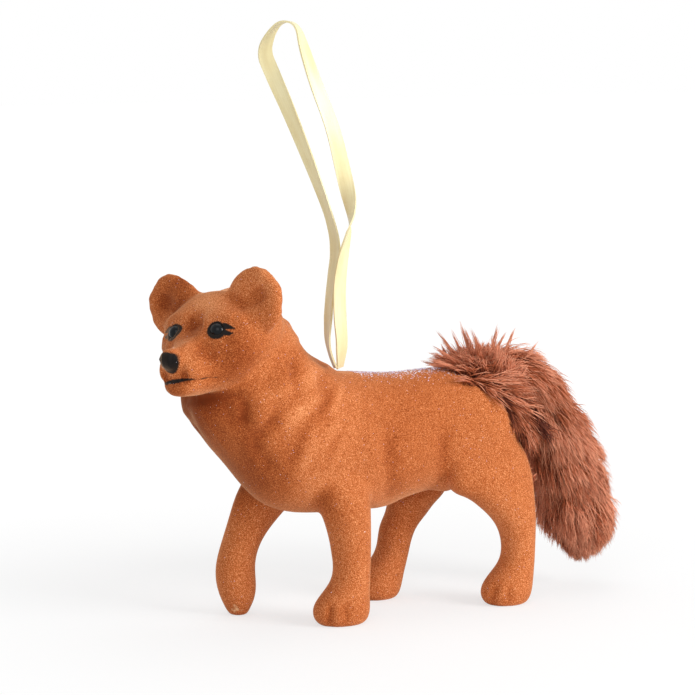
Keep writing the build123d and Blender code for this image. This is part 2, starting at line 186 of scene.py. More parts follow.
def mark(piece: Piece, kind: Element, wanted: np.ndarray) -> None:
    """Selects some of a piece's vertices or faces for edit mode.

    Args:
        piece: The object to change.
        kind: Vertices or faces.
        wanted: A flag for each vertex or face.
    """
    with editing(piece):
        bpy.ops.mesh.select_mode(type=kind.value)
        bpy.ops.mesh.select_all(action="DESELECT")
    parts = piece.data.vertices if kind is Element.VERTEX else piece.data.polygons
    parts.foreach_set("select", wanted)


def divide(piece: Piece, wanted: np.ndarray) -> None:
    """Divides some of a piece's faces.

    Args:
        piece: The object to change.
        wanted: A flag for each face.
    """
    mark(piece, Element.FACE, wanted)
    with editing(piece):
        bpy.ops.mesh.subdivide(number_cuts=1)


def merge_corners(piece: Piece) -> None:
    """Joins the loose triangles of copied solids at their corners.

    Args:
        piece: The object to change.
    """
    with editing(piece):
        bpy.ops.mesh.select_all(action="SELECT")
        bpy.ops.mesh.remove_doubles(threshold=MERGE_GAP * MM)


def apply_modifier(piece: Piece, kind: str, **settings: object) -> None:
    """Adds a modifier, sets it and applies it.

    Args:
        piece: The object to change.
        kind: The modifier's type.
        settings: Values for the modifier's own fields.
    """
    select_only(piece)
    modifier = piece.modifiers.new(kind.title(), kind)
    for name, value in settings.items():
        setattr(modifier, name, value)
    bpy.ops.object.modifier_apply(modifier=modifier.name)


def read_points(piece: Piece) -> np.ndarray:
    """The piece's vertices.

    Args:
        piece: The object to read.

    Returns:
        Rows of three numbers, in metres.
    """
    points = np.empty(len(piece.data.vertices) * 3)
    piece.data.vertices.foreach_get("co", points)
    return points.reshape(-1, 3)


def write_points(piece: Piece, points: np.ndarray) -> None:
    """Moves the piece's vertices to new places."""
    piece.data.vertices.foreach_set("co", np.ascontiguousarray(points, dtype=np.float32).ravel())
    piece.data.update()


def read_normals(piece: Piece) -> np.ndarray:
    """The piece's vertex normals.

    Args:
        piece: The object to read.

    Returns:
        Rows of three numbers.
    """
    normals = np.empty(len(piece.data.vertices) * 3, dtype=np.float32)
    piece.data.vertex_normals.foreach_get("vector", normals)
    return normals.reshape(-1, 3).astype(float)


def read_faces(piece: Piece, name: str, width: int = 3) -> np.ndarray:
    """A value of every face.

    Args:
        piece: The object to read.
        name: The value: center, normal or area.
        width: How many numbers it has.

    Returns:
        One row for each face.
    """
    values = np.empty(len(piece.data.polygons) * width)
    piece.data.polygons.foreach_get(name, values)
    return values.reshape(-1, width)


def write_attribute(piece: Piece, name: str, values: np.ndarray) -> None:
    """Stores one number for each vertex under a name that a finish can read."""
    layer = piece.data.attributes.new(name, "FLOAT", "POINT")
    layer.data.foreach_set("value", np.ascontiguousarray(values, dtype=np.float32))


def dress(piece: Piece, material: bpy.types.Material, body: Body) -> None:
    """Gives a piece its only material and its body.

    Args:
        piece: The object to dress.
        material: Its finish.
        body: The body that carries it.
    """
    piece.data.materials.clear()
    piece.data.materials.append(material)
    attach(piece, body.value)
    LOG.info("%s: %d faces on %s", piece.name, len(piece.data.polygons), body.value)


def unit(rows: np.ndarray) -> np.ndarray:
    """Rows scaled to length one."""
    return rows / np.maximum(np.linalg.norm(rows, axis=-1, keepdims=True), 1e-12)


def row_dots(first: np.ndarray, second: np.ndarray) -> np.ndarray:
    """The dot product of each row with its partner."""
    return np.einsum("ij,ij->i", first, second)


def rows_at(places: np.ndarray, knots: np.ndarray, table: np.ndarray) -> np.ndarray:
    """A table's rows read between its knots, column by column."""
    return np.stack([np.interp(places, knots, column) for column in table.T], axis=1)


def fade(values: np.ndarray, start: float, run: float) -> np.ndarray:
    """Nought up to a start, rising to one over a run."""
    return np.clip((values - start) / run, 0, 1)


def bell(gap: np.ndarray, reach: float) -> np.ndarray:
    """One at no distance, falling softly to nought past a reach."""
    return np.exp(-(gap / reach) ** 2)


def distance_to_line(points: np.ndarray, line: np.ndarray) -> tuple[np.ndarray, np.ndarray]:
    """Distance from points to an open line of straight runs.

    Args:
        points: Places to measure.
        line: Corners of the line.

    Returns:
        The distance, and the share of the line's corners passed at the nearest place.
    """
    best = np.full(len(points), np.inf)
    share = np.zeros(len(points))
    runs = len(line) - 1
    for index in range(runs):
        start, run = line[index], line[index + 1] - line[index]
        along = np.clip((points - start) @ run / max(run @ run, 1e-18), 0, 1)
        gap = np.linalg.norm(points - start - along[:, None] * run, axis=1)
        nearer = gap < best
        best[nearer] = gap[nearer]
        share[nearer] = (index + along[nearer]) / runs
    return best, share


class Neighbours:
    """Averages values over the edges of a mesh."""

    def __init__(self, piece: Piece) -> None:
        """Reads the edges of the piece.

        Args:
            piece: The object to read.
        """
        edges = np.empty(len(piece.data.edges) * 2, dtype=np.int64)
        piece.data.edges.foreach_get("vertices", edges)
        edges = edges.reshape(-1, 2)
        self.here = np.concatenate([edges[:, 0], edges[:, 1]])
        self.there = np.concatenate([edges[:, 1], edges[:, 0]])
        self.count = len(piece.data.vertices)
        self.degree = np.maximum(np.bincount(self.here, minlength=self.count), 1)

    def mean(self, values: np.ndarray) -> np.ndarray:
        """The mean of each vertex's neighbours.

        Args:
            values: One row or number for each vertex.

        Returns:
            The means, in the same shape.
        """
        if values.ndim == 1:
            return np.bincount(self.here, values[self.there], self.count) / self.degree
        return np.stack([self.mean(values[:, axis]) for axis in range(values.shape[1])], axis=1)

    def relax(self, points: np.ndarray, weight: np.ndarray | float, rounds: int) -> np.ndarray:
        """Moves points towards their neighbours' mean.

        Args:
            points: The vertices.
            weight: The share of the way in one round, for all or for each vertex.
            rounds: How many times.

        Returns:
            The moved vertices.
        """
        share = weight if np.isscalar(weight) else np.asarray(weight)[:, None]
        for _ in range(rounds):
            points = points + (self.mean(points) - points) * share
        return points


# Finishes


class NodeTree:
    """A material's node tree with short ways to add nodes."""

    def __init__(self, name: str) -> None:
        """Starts a material with its main shader.

        Args:
            name: The material's name.
        """
        self.material = bpy.data.materials.new(name)
        self.material.use_nodes = True
        self.nodes = self.material.node_tree.nodes
        self.links = self.material.node_tree.links
        self.shader = self.nodes["Principled BSDF"]
        self.place = self.nodes.new("ShaderNodeTexCoord").outputs["Object"]

    def join(self, source: Socket, target: Socket) -> None:
        """Links two sockets."""
        self.links.new(source, target)

    def attribute(self, name: str) -> Socket:
        """A number that the piece stores for each vertex.

        Args:
            name: The number's name.

        Returns:
            The number.
        """
        node = self.nodes.new("ShaderNodeAttribute")
        node.attribute_name = name
        return node.outputs["Fac"]

    def noise(self, scale: float, detail: float = 2.0, place: Socket | None = None) -> Socket:
        """Cloudy noise from 0 to 1.

        Args:
            scale: Waves to the metre.
            detail: How many finer layers it has.
            place: Where it is read, the object's own coordinates by default.

        Returns:
            The noise.
        """
        node = self.nodes.new("ShaderNodeTexNoise")
        node.inputs["Scale"].default_value = scale
        node.inputs["Detail"].default_value = detail
        self.join(place or self.place, node.inputs["Vector"])
        return node.outputs["Fac"]

    def ramp(self, source: Socket, stops: Sequence[float], colours: Sequence[Colour]) -> Socket:
        """Colours by a number.

        Args:
            source: The number.
            stops: Where each colour stands.
            colours: The colours.

        Returns:
            The colour.
        """
        node = self.nodes.new("ShaderNodeValToRGB")
        bar = node.color_ramp.elements
        while len(bar) < len(stops):
            bar.new(0.5)
        for element, stop, colour in zip(bar, stops, colours):
            element.position = stop
            element.color = (*colour, 1.0)
        self.join(source, node.inputs["Fac"])
        return node.outputs["Color"]

    def span(self, source: Socket, given: Range, wanted: Range = (0.0, 1.0)) -> Socket:
        """A number carried from one range to another and held inside it.

        Args:
            source: The number.
            given: The range it comes in.
            wanted: The range it goes to.

        Returns:
            The new number.
        """
        node = self.nodes.new("ShaderNodeMapRange")
        for name, value in zip(("From Min", "From Max", "To Min", "To Max"), (*given, *wanted)):
            node.inputs[name].default_value = value
        self.join(source, node.inputs["Value"])
        return node.outputs["Result"]

    def combine(self, kind: str, first: Socket, second: Socket | float) -> Socket:
        """Two numbers put together.

        Args:
            kind: The sum's name in a Math node.
            first: The first number.
            second: The second, or a constant.

        Returns:
            The result.
        """
        node = self.nodes.new("ShaderNodeMath")
        node.operation = kind
        self.join(first, node.inputs[0])
        if isinstance(second, (int, float)):
            node.inputs[1].default_value = second
        else:
            self.join(second, node.inputs[1])
        return node.outputs["Value"]

    def plus(self, first: Socket, second: Socket | float) -> Socket:
        """The sum of two numbers."""
        return self.combine("ADD", first, second)

    def minus(self, first: Socket, second: Socket | float) -> Socket:
        """The difference of two numbers."""
        return self.combine("SUBTRACT", first, second)

    def times(self, first: Socket, second: Socket | float) -> Socket:
        """The product of two numbers."""
        return self.combine("MULTIPLY", first, second)

    def mix(self, share: Socket, first: Socket | Colour, second: Socket | Colour) -> Socket:
        """Two colours mixed by a share.

        Args:
            share: How much of the second is taken.
            first: A colour.
            second: Another colour.

        Returns:
            The mixed colour.
        """
        node = self.nodes.new("ShaderNodeMix")
        node.data_type = "RGBA"
        self.join(share, node.inputs["Factor"])
        colour_inputs = [socket for socket in node.inputs if socket.type == "RGBA"]
        for socket, value in zip(colour_inputs, (first, second)):
            if isinstance(value, tuple):
                socket.default_value = (*value, 1.0)
            else:
                self.join(value, socket)
        return next(socket for socket in node.outputs if socket.type == "RGBA")

    def stretch(self, scale: tuple[float, float, float], source: Socket | None = None) -> Socket:
        """Places scaled on their own axes.

        Args:
            scale: Along the three axes.
            source: The places, the object's own coordinates by default.

        Returns:
            The scaled places.
        """
        node = self.nodes.new("ShaderNodeMapping")
        node.inputs["Scale"].default_value = scale
        self.join(source or self.place, node.inputs["Vector"])
        return node.outputs["Vector"]

    def bump(self, height: Socket, strength: float, depth: float) -> None:
        """Roughens the shader's normal.

        Args:
            height: The relief, from 0 to 1.
            strength: How much of it shows.
            depth: Its depth in millimetres.
        """
        node = self.nodes.new("ShaderNodeBump")
        node.inputs["Strength"].default_value = strength
        node.inputs["Distance"].default_value = depth * MM
        self.join(height, node.inputs["Height"])
        self.join(node.outputs["Normal"], self.shader.inputs["Normal"])

    def set(self, **values: object) -> None:
        """Sets the shader's own sockets, with spaces written as underscores."""
        for name, value in values.items():
            self.shader.inputs[name.replace("_", " ")].default_value = value

    def colour(self, source: Socket) -> None:
        """Links the shader's colour."""
        self.join(source, self.shader.inputs["Base Color"])

    def dull(self, source: Socket) -> None:
        """Links the shader's roughness."""
        self.join(source, self.shader.inputs["Roughness"])


@dataclass(frozen=True)
class FlockFinish:
    """Short velvet fibres, with the black of nose, mouth and eyelids painted on."""

    shades: tuple = ((0.20, 0.036, 0.007), (0.49, 0.130, 0.034), (0.78, 0.320, 0.135))
    stops: tuple = (0.30, 0.50, 0.66)
    ink: Colour = (0.006, 0.005, 0.005)
    worn: Colour = (0.80, 0.50, 0.27)
    sheen: tuple = (1.0, 0.58, 0.32, 1.0)
    grain: float = 4200.0
    tuft: float = 924.0
    patch: float = 70.0
    grain_share: float = 0.82
    patch_share: float = 0.10
    tuft_share: float = 0.08
    worn_edge: Range = (0.85, 1.25)
    worn_fray: float = 1.2
    ink_edge: Range = (-0.12, 0.16)
    ink_fray: float = 0.35
    roughness: Range = (0.92, 0.55)
    pile_tuft: float = 0.5
    pile_strength: float = 0.45
    pile_depth: float = 0.16

    def build(self) -> bpy.types.Material:
        """Makes the flock.

        Returns:
            The material.
        """
        tree = NodeTree("orange_flock")
        grain = tree.noise(self.grain)
        patch = tree.noise(self.patch, 3.0)
        tuft = tree.noise(self.tuft)
        blend = tree.plus(tree.times(grain, self.grain_share), tree.times(patch, self.patch_share))
        blend = tree.plus(blend, tree.times(tuft, self.tuft_share))
        # Painted shade and light from grooves, mane waves and patches, and the chest's shade with a deeper
        # flock colour, darken or lighten the flock
        flock = tree.ramp(tree.minus(blend, tree.attribute("shade_light_colour")), self.stops, self.shades)
        worn = tree.plus(tree.attribute("worn"), tree.times(tuft, self.worn_fray))
        flock = tree.mix(tree.span(worn, self.worn_edge), flock, self.worn)
        fray = tree.times(tree.minus(grain, 0.5), self.ink_fray)
        painted = tree.span(tree.plus(tree.attribute("ink"), fray), self.ink_edge, (1.0, 0.0))
        tree.colour(tree.mix(painted, flock, self.ink))
        tree.dull(tree.span(painted, (0.0, 1.0), self.roughness))
        tree.set(Sheen_Weight=0.6, Sheen_Roughness=0.38, Sheen_Tint=self.sheen, Specular_IOR_Level=0.10)
        tree.bump(tree.plus(grain, tree.times(tuft, self.pile_tuft)), self.pile_strength, self.pile_depth)
        return tree.material


@dataclass(frozen=True)
class BeadFinish:
    """Glossy black glass-like plastic of the bead eyes."""

    black: Colour = (0.002, 0.003, 0.004)
    cloud: Colour = (0.004, 0.006, 0.008)
    cloud_scale: float = 260.0
    wear_scale: float = 900.0
    wear: Range = (0.45, 0.75)
    roughness: Range = (0.05, 0.12)

    def build(self) -> bpy.types.Material:
        """Makes the gloss of the beads.

        Returns:
            The material.
        """
        tree = NodeTree("black_bead")
        tree.colour(tree.mix(tree.noise(self.cloud_scale), self.black, self.cloud))
        tree.dull(tree.span(tree.noise(self.wear_scale, 3.0), self.wear, self.roughness))
        tree.set(Specular_IOR_Level=0.16)
        return tree.material


@dataclass(frozen=True)
class FurFinish:
    """Faux-fur fibres, dark at the root and pale at the tip; the dark root is partly the fibres' own colour
    and partly painted shade deep in the fur.
    """

    # Dark root colour: partly the fibres' own colour, partly painted shade deep in the fur
    root: Colour = (0.10, 0.020, 0.009)
    middle: Colour = (0.47, 0.122, 0.049)
    tip: Colour = (0.81, 0.34, 0.20)
    stops: tuple = (0.18, 0.62, 0.9333)
    backing: Colour = (0.022, 0.008, 0.006)
    backing_stops: Range = (0.3, 0.7)
    backing_cloud: float = 1400.0
    backing_grain: float = 2200.0
    backing_strength: float = 0.8
    backing_depth: float = 0.5

    def build(self) -> bpy.types.Material:
        """Makes the fibres' finish, by the place along a fibre and the fibre's own tone.

        Returns:
            The material.
        """
        tree = NodeTree("auburn_fur")
        along = tree.plus(tree.attribute("along"), tree.attribute("tone"))
        tree.colour(tree.ramp(along, self.stops, (self.root, self.middle, self.tip)))
        tree.set(Roughness=0.58, Specular_IOR_Level=0.16)
        return tree.material

    def build_core(self) -> bpy.types.Material:
        """Makes the dark backing that the fibres stand on.

        Returns:
            The material.
        """
        tree = NodeTree("fur_backing")
        cloud = tree.noise(self.backing_cloud, 3.0)
        tree.colour(tree.ramp(cloud, self.backing_stops, (self.backing, self.root)))
        tree.set(Roughness=0.95, Specular_IOR_Level=0.1)
        tree.bump(tree.noise(self.backing_grain), self.backing_strength, self.backing_depth)
        return tree.material


@dataclass(frozen=True)
class SatinFinish:
    """Cream-gold satin with fine lengthwise threads, as stretches along and across the strip."""

    gold: Colour = (0.74, 0.62, 0.31)
    pale: Colour = (0.86, 0.78, 0.47)
    stops: Range = (0.36, 0.62)
    gloss: Range = (0.3, 0.7)
    roughness: Range = (0.30, 0.44)
    threads: tuple = (60.0, 40.0, 1.0)
    picks: tuple = (2500.0, 6.0, 1.0)
    clouds: tuple = (70.0, 1.2, 1.0)
    thread_share: float = 0.45
    cloud_share: float = 0.55

    def build(self) -> bpy.types.Material:
        """Makes the satin on the ribbon's own map, metres along and share across.

        Returns:
            The material.
        """
        tree = NodeTree("cream_satin")
        node = tree.nodes.new("ShaderNodeUVMap")
        node.uv_map = "ribbon_map"
        place = node.outputs["UV"]
        thread = tree.noise(1.0, 2.0, tree.stretch(self.threads, place))
        pick = tree.noise(1.0, 1.0, tree.stretch(self.picks, place))
        cloud = tree.noise(1.0, 2.0, tree.stretch(self.clouds, place))
        tone = tree.plus(tree.times(thread, self.thread_share), tree.times(cloud, self.cloud_share))
        tree.colour(tree.ramp(tone, self.stops, (self.gold, self.pale)))
        tree.dull(tree.span(thread, self.gloss, self.roughness))
        tree.set(Sheen_Weight=0.25, Sheen_Roughness=0.35, Specular_IOR_Level=0.6, Anisotropic=0.4)
        tree.bump(tree.plus(thread, pick), 0.25, 0.05)
        return tree.material


@dataclass(frozen=True)
class GlitterFinish:
    """Silver-lilac foil flakes."""

    silver: Colour = (0.90, 0.90, 0.94)
    lilac: Colour = (0.70, 0.62, 0.88)
    play: float = 1500.0
    play_edge: Range = (0.4, 0.6)

    def build(self) -> bpy.types.Material:
        """Makes the foil.

        Returns:
            The material.
        """
        tree = NodeTree("silver_flake")
        play = tree.span(tree.noise(self.play, 1.0), self.play_edge)
        tree.colour(tree.mix(play, self.silver, self.lilac))
        tree.set(Metallic=0.55, Roughness=0.28, Specular_IOR_Level=0.8)
        return tree.material


@dataclass(frozen=True)
class HiddenFinish:
    """Wood and wire that the fur and the skin cover."""

    wood: tuple = ((0.30, 0.198, 0.102), (0.50, 0.33, 0.17))
    steel: tuple = ((0.364, 0.364, 0.371), (0.52, 0.52, 0.53))
    stops: Range = (0.3, 0.7)
    wood_grain: tuple = (150.0, 1600.0, 1600.0)
    wire_grain: tuple = (900.0, 900.0, 120.0)
    wire_roughness: Range = (0.28, 0.45)

    def build_wood(self) -> bpy.types.Material:
        """Makes plain stick wood with lengthwise grain.

        Returns:
            The material.
        """
        tree = NodeTree("plain_stick")
        grain = tree.noise(1.0, 4.0, tree.stretch(self.wood_grain))
        tree.colour(tree.ramp(grain, self.stops, self.wood))
        tree.set(Roughness=0.7)
        tree.bump(grain, 0.3, 0.05)
        return tree.material

    def build_steel(self) -> bpy.types.Material:
        """Makes soft drawn wire.

        Returns:
            The material.
        """
        tree = NodeTree("soft_wire")
        drawn = tree.noise(1.0, 3.0, tree.stretch(self.wire_grain))
        tree.colour(tree.ramp(drawn, self.stops, self.steel))
        tree.dull(tree.span(drawn, self.stops, self.wire_roughness))
        tree.set(Metallic=1.0)
        return tree.material


# View and studio


@dataclass
class PhotoCamera:
    """The camera at the photograph's viewing angle, aimed past the foot of the ribbon, in millimetres."""

    anchor: Vector = field(default_factory=lambda: PIVOTS["ribbon_swing"])
    azimuth: float = 28.0
    elevation: float = 8.0
    distance: float = 700.0
    pixel: float = 0.26
    picture: float = 695.0
    anchor_pixel: tuple = (338.0, 370.0)
    sensor: float = 36.0
    clip: Range = (10.0, 20000.0)

    def axes(self) -> tuple[Vector, Vector, Vector]:
        """The view's own directions.

        Returns:
            Right, up and forward.
        """
        turn, rise = math.radians(self.azimuth), math.radians(self.elevation)
        ahead = Vector((math.sin(turn) * math.cos(rise), math.cos(turn) * math.cos(rise), -math.sin(rise)))
        right = ahead.cross(Vector((0, 0, 1))).normalized()
        return right, right.cross(ahead), ahead

    def place(self) -> Vector:
        """Where the camera stands."""
        return (self.anchor - self.axes()[2] * self.distance) * MM

    def ray(self, across: float, down: float) -> tuple[Vector, Vector]:
        """The line of sight through a pixel.

        Args:
            across: Pixels from the picture's left edge.
            down: Pixels from its top edge.

        Returns:
            The camera's place and the direction of sight.
        """
        right, up, _ = self.axes()
        aside = (across - self.anchor_pixel[0]) * self.pixel
        above = (self.anchor_pixel[1] - down) * self.pixel
        target = (self.anchor + right * aside + up * above) * MM
        return self.place(), (target - self.place()).normalized()

    def build(self) -> None:
        """Makes the camera and gives it to the scene."""
        data = bpy.data.cameras.new("photo_camera")
        data.sensor_width = self.sensor
        data.lens = self.sensor * self.distance / (self.picture * self.pixel)
        half = self.picture / 2
        data.shift_x = (half - self.anchor_pixel[0]) / self.picture
        data.shift_y = (self.anchor_pixel[1] - half) / self.picture
        data.clip_start, data.clip_end = (end * MM for end in self.clip)
        camera = add_object("photo_camera", data)
        camera.location = self.place()
        camera.rotation_euler = self.axes()[2].to_track_quat("-Z", "Y").to_euler()
        bpy.context.scene.camera = camera


@dataclass(frozen=True)
class Lamp:
    """A square soft lamp: its place and size in metres, and its power in watts."""

    name: str
    place: tuple
    size: float
    power: float


LAMPS = (
    Lamp("key_lamp", (0.62, -0.80, 0.42), 0.55, 9.4),
    Lamp("fill_lamp", (-0.60, -0.80, 0.60), 0.70, 3.0),
    Lamp("top_lamp", (0.10, 0.20, 1.05), 0.80, 2.2),
)


@dataclass
class Studio:
    """Pale floor, soft lamps and a white surround, in metres."""

    floor_size: float = 6.0
    floor_colour: Colour = (0.93, 0.93, 0.93)
    clear_run: Range = (0.08, 0.20)
    veil: float = 0.64
    surround: float = 0.47
    aim: tuple = (0.0, 0.0, 0.06)

    def build(self) -> None:
        """Builds the stage and its light."""
        self.build_floor()
        self.build_world()
        for lamp in LAMPS:
            self.add_lamp(lamp)
        bpy.context.scene.view_settings.view_transform = "Standard"

    def build_floor(self) -> None:
        """A plain pale floor under the soles, which clears to white away from the figure."""
        bpy.ops.object.select_all(action="DESELECT")
        bpy.ops.mesh.primitive_plane_add(size=self.floor_size)
        floor = bpy.context.active_object
        floor.name = "studio_floor"
        tree = NodeTree("pale_floor")
        length = tree.nodes.new("ShaderNodeVectorMath")
        length.operation = "LENGTH"
        tree.join(tree.place, length.inputs[0])
        clear = tree.span(length.outputs["Value"], self.clear_run, (self.veil, 1.0))
        white = tree.times(clear, self.seen_white(tree.nodes, tree.links))
        tree.colour(tree.mix(white, self.floor_colour, (0.0, 0.0, 0.0)))
        tree.join(white, tree.shader.inputs["Emission Strength"])
        tree.set(Roughness=0.9, Specular_IOR_Level=0.1, Emission_Color=WHITE)
        floor.data.materials.append(tree.material)

    def seen_white(self, nodes: bpy.types.Nodes, links: bpy.types.NodeLinks) -> Socket:
        """Tells the rays that see the background from those that light the object.

        Args:
            nodes: The nodes of a material or a world.
            links: Its links.

        Returns:
            One for rays from the camera, a gloss or a clear piece, and nought for others.
        """
        path = nodes.new("ShaderNodeLightPath")
        seen = path.outputs["Is Camera Ray"]
        for kind in ("Is Glossy Ray", "Is Transmission Ray"):
            node = nodes.new("ShaderNodeMath")
            node.operation = "MAXIMUM"
            links.new(seen, node.inputs[0])
            links.new(path.outputs[kind], node.inputs[1])
            seen = node.outputs["Value"]
        return seen

    def build_world(self) -> None:
        """White to the camera, softer light to the object."""
        world = bpy.data.worlds.new("white_surround")
        bpy.context.scene.world = world
        world.use_nodes = True
        nodes, links = world.node_tree.nodes, world.node_tree.links
        strength = nodes.new("ShaderNodeMapRange")
        strength.inputs["To Min"].default_value = self.surround
        strength.inputs["To Max"].default_value = 1.0
        links.new(self.seen_white(nodes, links), strength.inputs["Value"])
        links.new(strength.outputs["Result"], nodes["Background"].inputs["Strength"])
        nodes["Background"].inputs["Color"].default_value = WHITE

    def add_lamp(self, lamp: Lamp) -> None:
        """Sets up one lamp that looks at the figure's middle.

        Args:
            lamp: Its place, size and power.
        """
        data = bpy.data.lights.new(lamp.name, "AREA")
        data.size, data.energy = lamp.size, lamp.power
        item = add_object(lamp.name, data)
        item.location = lamp.place
        way = Vector(self.aim) - Vector(lamp.place)
        item.rotation_euler = way.to_track_quat("-Z", "Y").to_euler()


# Ribbon


@dataclass(frozen=True)
class Bend:
    """A point of the ribbon's route: across, up and towards the viewer, in millimetres, and its twist."""

    across: float
    up: float
    forward: float
    twist: float


RIBBON_ROUTE = (
    Bend(-0.6, 0.5, 0.0, -78.0),
    Bend(-2.9, 5.5, -0.3, -78.0),
    Bend(-2.6, 13.5, -0.7, -62.0),
    Bend(-1.9, 23.0, -1.2, -64.0),
    Bend(-0.3, 31.5, -1.8, -52.0),
    Bend(-2.2, 40.0, -2.4, -60.0),
    Bend(-6.7, 52.0, -3.2, -48.0),
    Bend(-12.5, 66.5, -3.8, -30.0),
    Bend(-17.1, 77.0, -3.8, -6.0),
    Bend(-19.2, 82.0, -3.2, 30.0),
    Bend(-17.3, 87.0, -2.0, 62.0),
    Bend(-14.4, 90.2, -0.4, 82.0),
    Bend(-10.3, 89.3, 1.2, 100.0),
    Bend(-8.7, 83.4, 2.6, 125.0),
    Bend(-5.6, 74.0, 3.6, 140.0),
    Bend(-1.2, 63.0, 3.8, 150.0),
    Bend(1.4, 51.5, 3.4, 166.0),
    Bend(3.5, 42.5, 2.8, 225.0),
    Bend(2.9, 36.5, 2.3, 284.0),
    Bend(1.3, 30.0, 1.9, 308.0),
    Bend(0.3, 22.5, 1.5, 320.0),
    Bend(0.5, 13.5, 1.0, 320.0),
    Bend(1.2, 6.0, 0.5, 312.0),
    Bend(0.5, 0.5, 0.0, 290.0),
)


@dataclass
class RibbonLoop:
    """The satin loop that the ornament hangs by, in millimetres and degrees."""

    pivot: Vector = field(default_factory=lambda: PIVOTS["ribbon_swing"])
    facing: float = -28.0
    width: float = 4.0
    thickness: float = 0.24
    selvedge: float = 0.10
    selvedge_start: float = 0.75
    crown: float = 0.12
    length: float = 190.7
    steps: int = 14
    across_count: int = 8
    sharp_angle: float = 50.0

    def directions(self) -> tuple[Vector, Vector, Vector]:
        """The directions of the loop's plane.

        Returns:
            Across, up and towards the viewer.
        """
        turn = math.radians(self.facing)
        across = Vector((math.cos(turn), math.sin(turn), 0))
        return across, Vector((0, 0, 1)), Vector((math.sin(turn), -math.cos(turn), 0))

    def centre_line(self) -> list[Vector]:
        """The ribbon's middle, read from a smooth spline whose control points are the route.

        Returns:
            Points in metres.
        """
        across, up, forward = self.directions()
        curve = bpy.data.curves.new("ribbon_route", "CURVE")
        curve.dimensions = "3D"
        curve.resolution_u = self.steps
        spline = curve.splines.new("NURBS")
        spline.points.add(len(RIBBON_ROUTE) - 1)
        for point, bend in zip(spline.points, RIBBON_ROUTE):
            spot = self.pivot + across * bend.across + up * bend.up + forward * bend.forward
            point.co = (*(spot * MM), 1.0)
        spline.order_u = 3
        spline.use_endpoint_u = True
        holder = add_object("ribbon_route", curve)
        mesh = bpy.data.meshes.new_from_object(holder.evaluated_get(bpy.context.evaluated_depsgraph_get()))
        points = [vertex.co.copy() for vertex in mesh.vertices]
        bpy.data.meshes.remove(mesh)
        bpy.data.objects.remove(holder)
        bpy.data.curves.remove(curve)
        return points

    def twist_at(self, share: float) -> float:
        """The strip's twist.

        Args:
            share: A share of the spline's own measure.

        Returns:
            Radians.
        """
        count = len(RIBBON_ROUTE)
        places = [0.0] + [(index - 0.5) / (count - 2) for index in range(1, count - 1)] + [1.0]
        return math.radians(float(np.interp(share, places, [bend.twist for bend in RIBBON_ROUTE])))

    def profile(self) -> list[tuple[float, float]]:
        """The strip's closed outline.

        Returns:
            Share across, and height in millimetres.
        """
        spots = np.linspace(-1.0, 1.0, self.across_count)
        half = self.thickness / 2
        edge = [self.selvedge * (abs(spot) > self.selvedge_start) for spot in spots]
        arch = [self.crown * (1 - spot * spot) for spot in spots]
        upper = [(float(s), a + half + e) for s, a, e in zip(spots, arch, edge)]
        lower = [(float(s), a - half - e) for s, a, e in zip(spots, arch, edge)]
        return upper + lower[::-1]

    def sweep(self, line: list[Vector]) -> Piece:
        """The closed twisted strip along the centre line, with its map.

        Args:
            line: The centre line.

        Returns:
            The ribbon, not dressed yet.
        """
        viewer = self.directions()[2]
        profile = self.profile()
        ring, last = len(profile), len(line) - 1
        points, places = [], []
        run = 0.0
        for index, spot in enumerate(line):
            before, after = line[max(index - 1, 0)], line[min(index + 1, last)]
            way = (after - before).normalized()
            flat = way.cross(viewer).normalized()
            turn = self.twist_at(index / last)
            across = flat * math.cos(turn) + way.cross(flat) * math.sin(turn)
            proud = way.cross(across)
            run += (spot - before).length
            for share, height in profile:
                points.append(spot + across * (share * self.width / 2 * MM) + proud * (height * MM))
                places.append((run, (share + 1) / 2))
        faces = [
            (r * ring + c, r * ring + (c + 1) % ring, (r + 1) * ring + (c + 1) % ring, (r + 1) * ring + c)
            for r in range(last) for c in range(ring)
        ]
        faces += [tuple(range(ring))[::-1], tuple(range(last * ring, (last + 1) * ring))]
        ribbon = new_piece("satin_ribbon", points, faces)
        layer = ribbon.data.uv_layers.new(name="ribbon_map")
        for loop in ribbon.data.loops:
            layer.data[loop.index].uv = places[loop.vertex_index]
        return ribbon

    def build(self, finish: SatinFinish) -> None:
        """Args:
            finish: The satin.
        """
        line = self.centre_line()
        ribbon = self.sweep(line)
        with editing(ribbon):
            bpy.ops.mesh.select_all(action="SELECT")
            bpy.ops.mesh.normals_make_consistent(inside=False)
        bpy.ops.object.shade_smooth_by_angle(angle=math.radians(self.sharp_angle))
        dress(ribbon, finish.build(), Body.RIBBON)
        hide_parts("ribbon_loop")


# Flocked skin


@dataclass(frozen=True)
class Stroke:
    """A soft ridge or groove drawn over the skin by pixels of the photograph.

    A positive rise stands proud and a negative one sinks in. Rise and width are in millimetres.
    """

    pixels: tuple
    rise: float
    width: float
    paired: bool = False


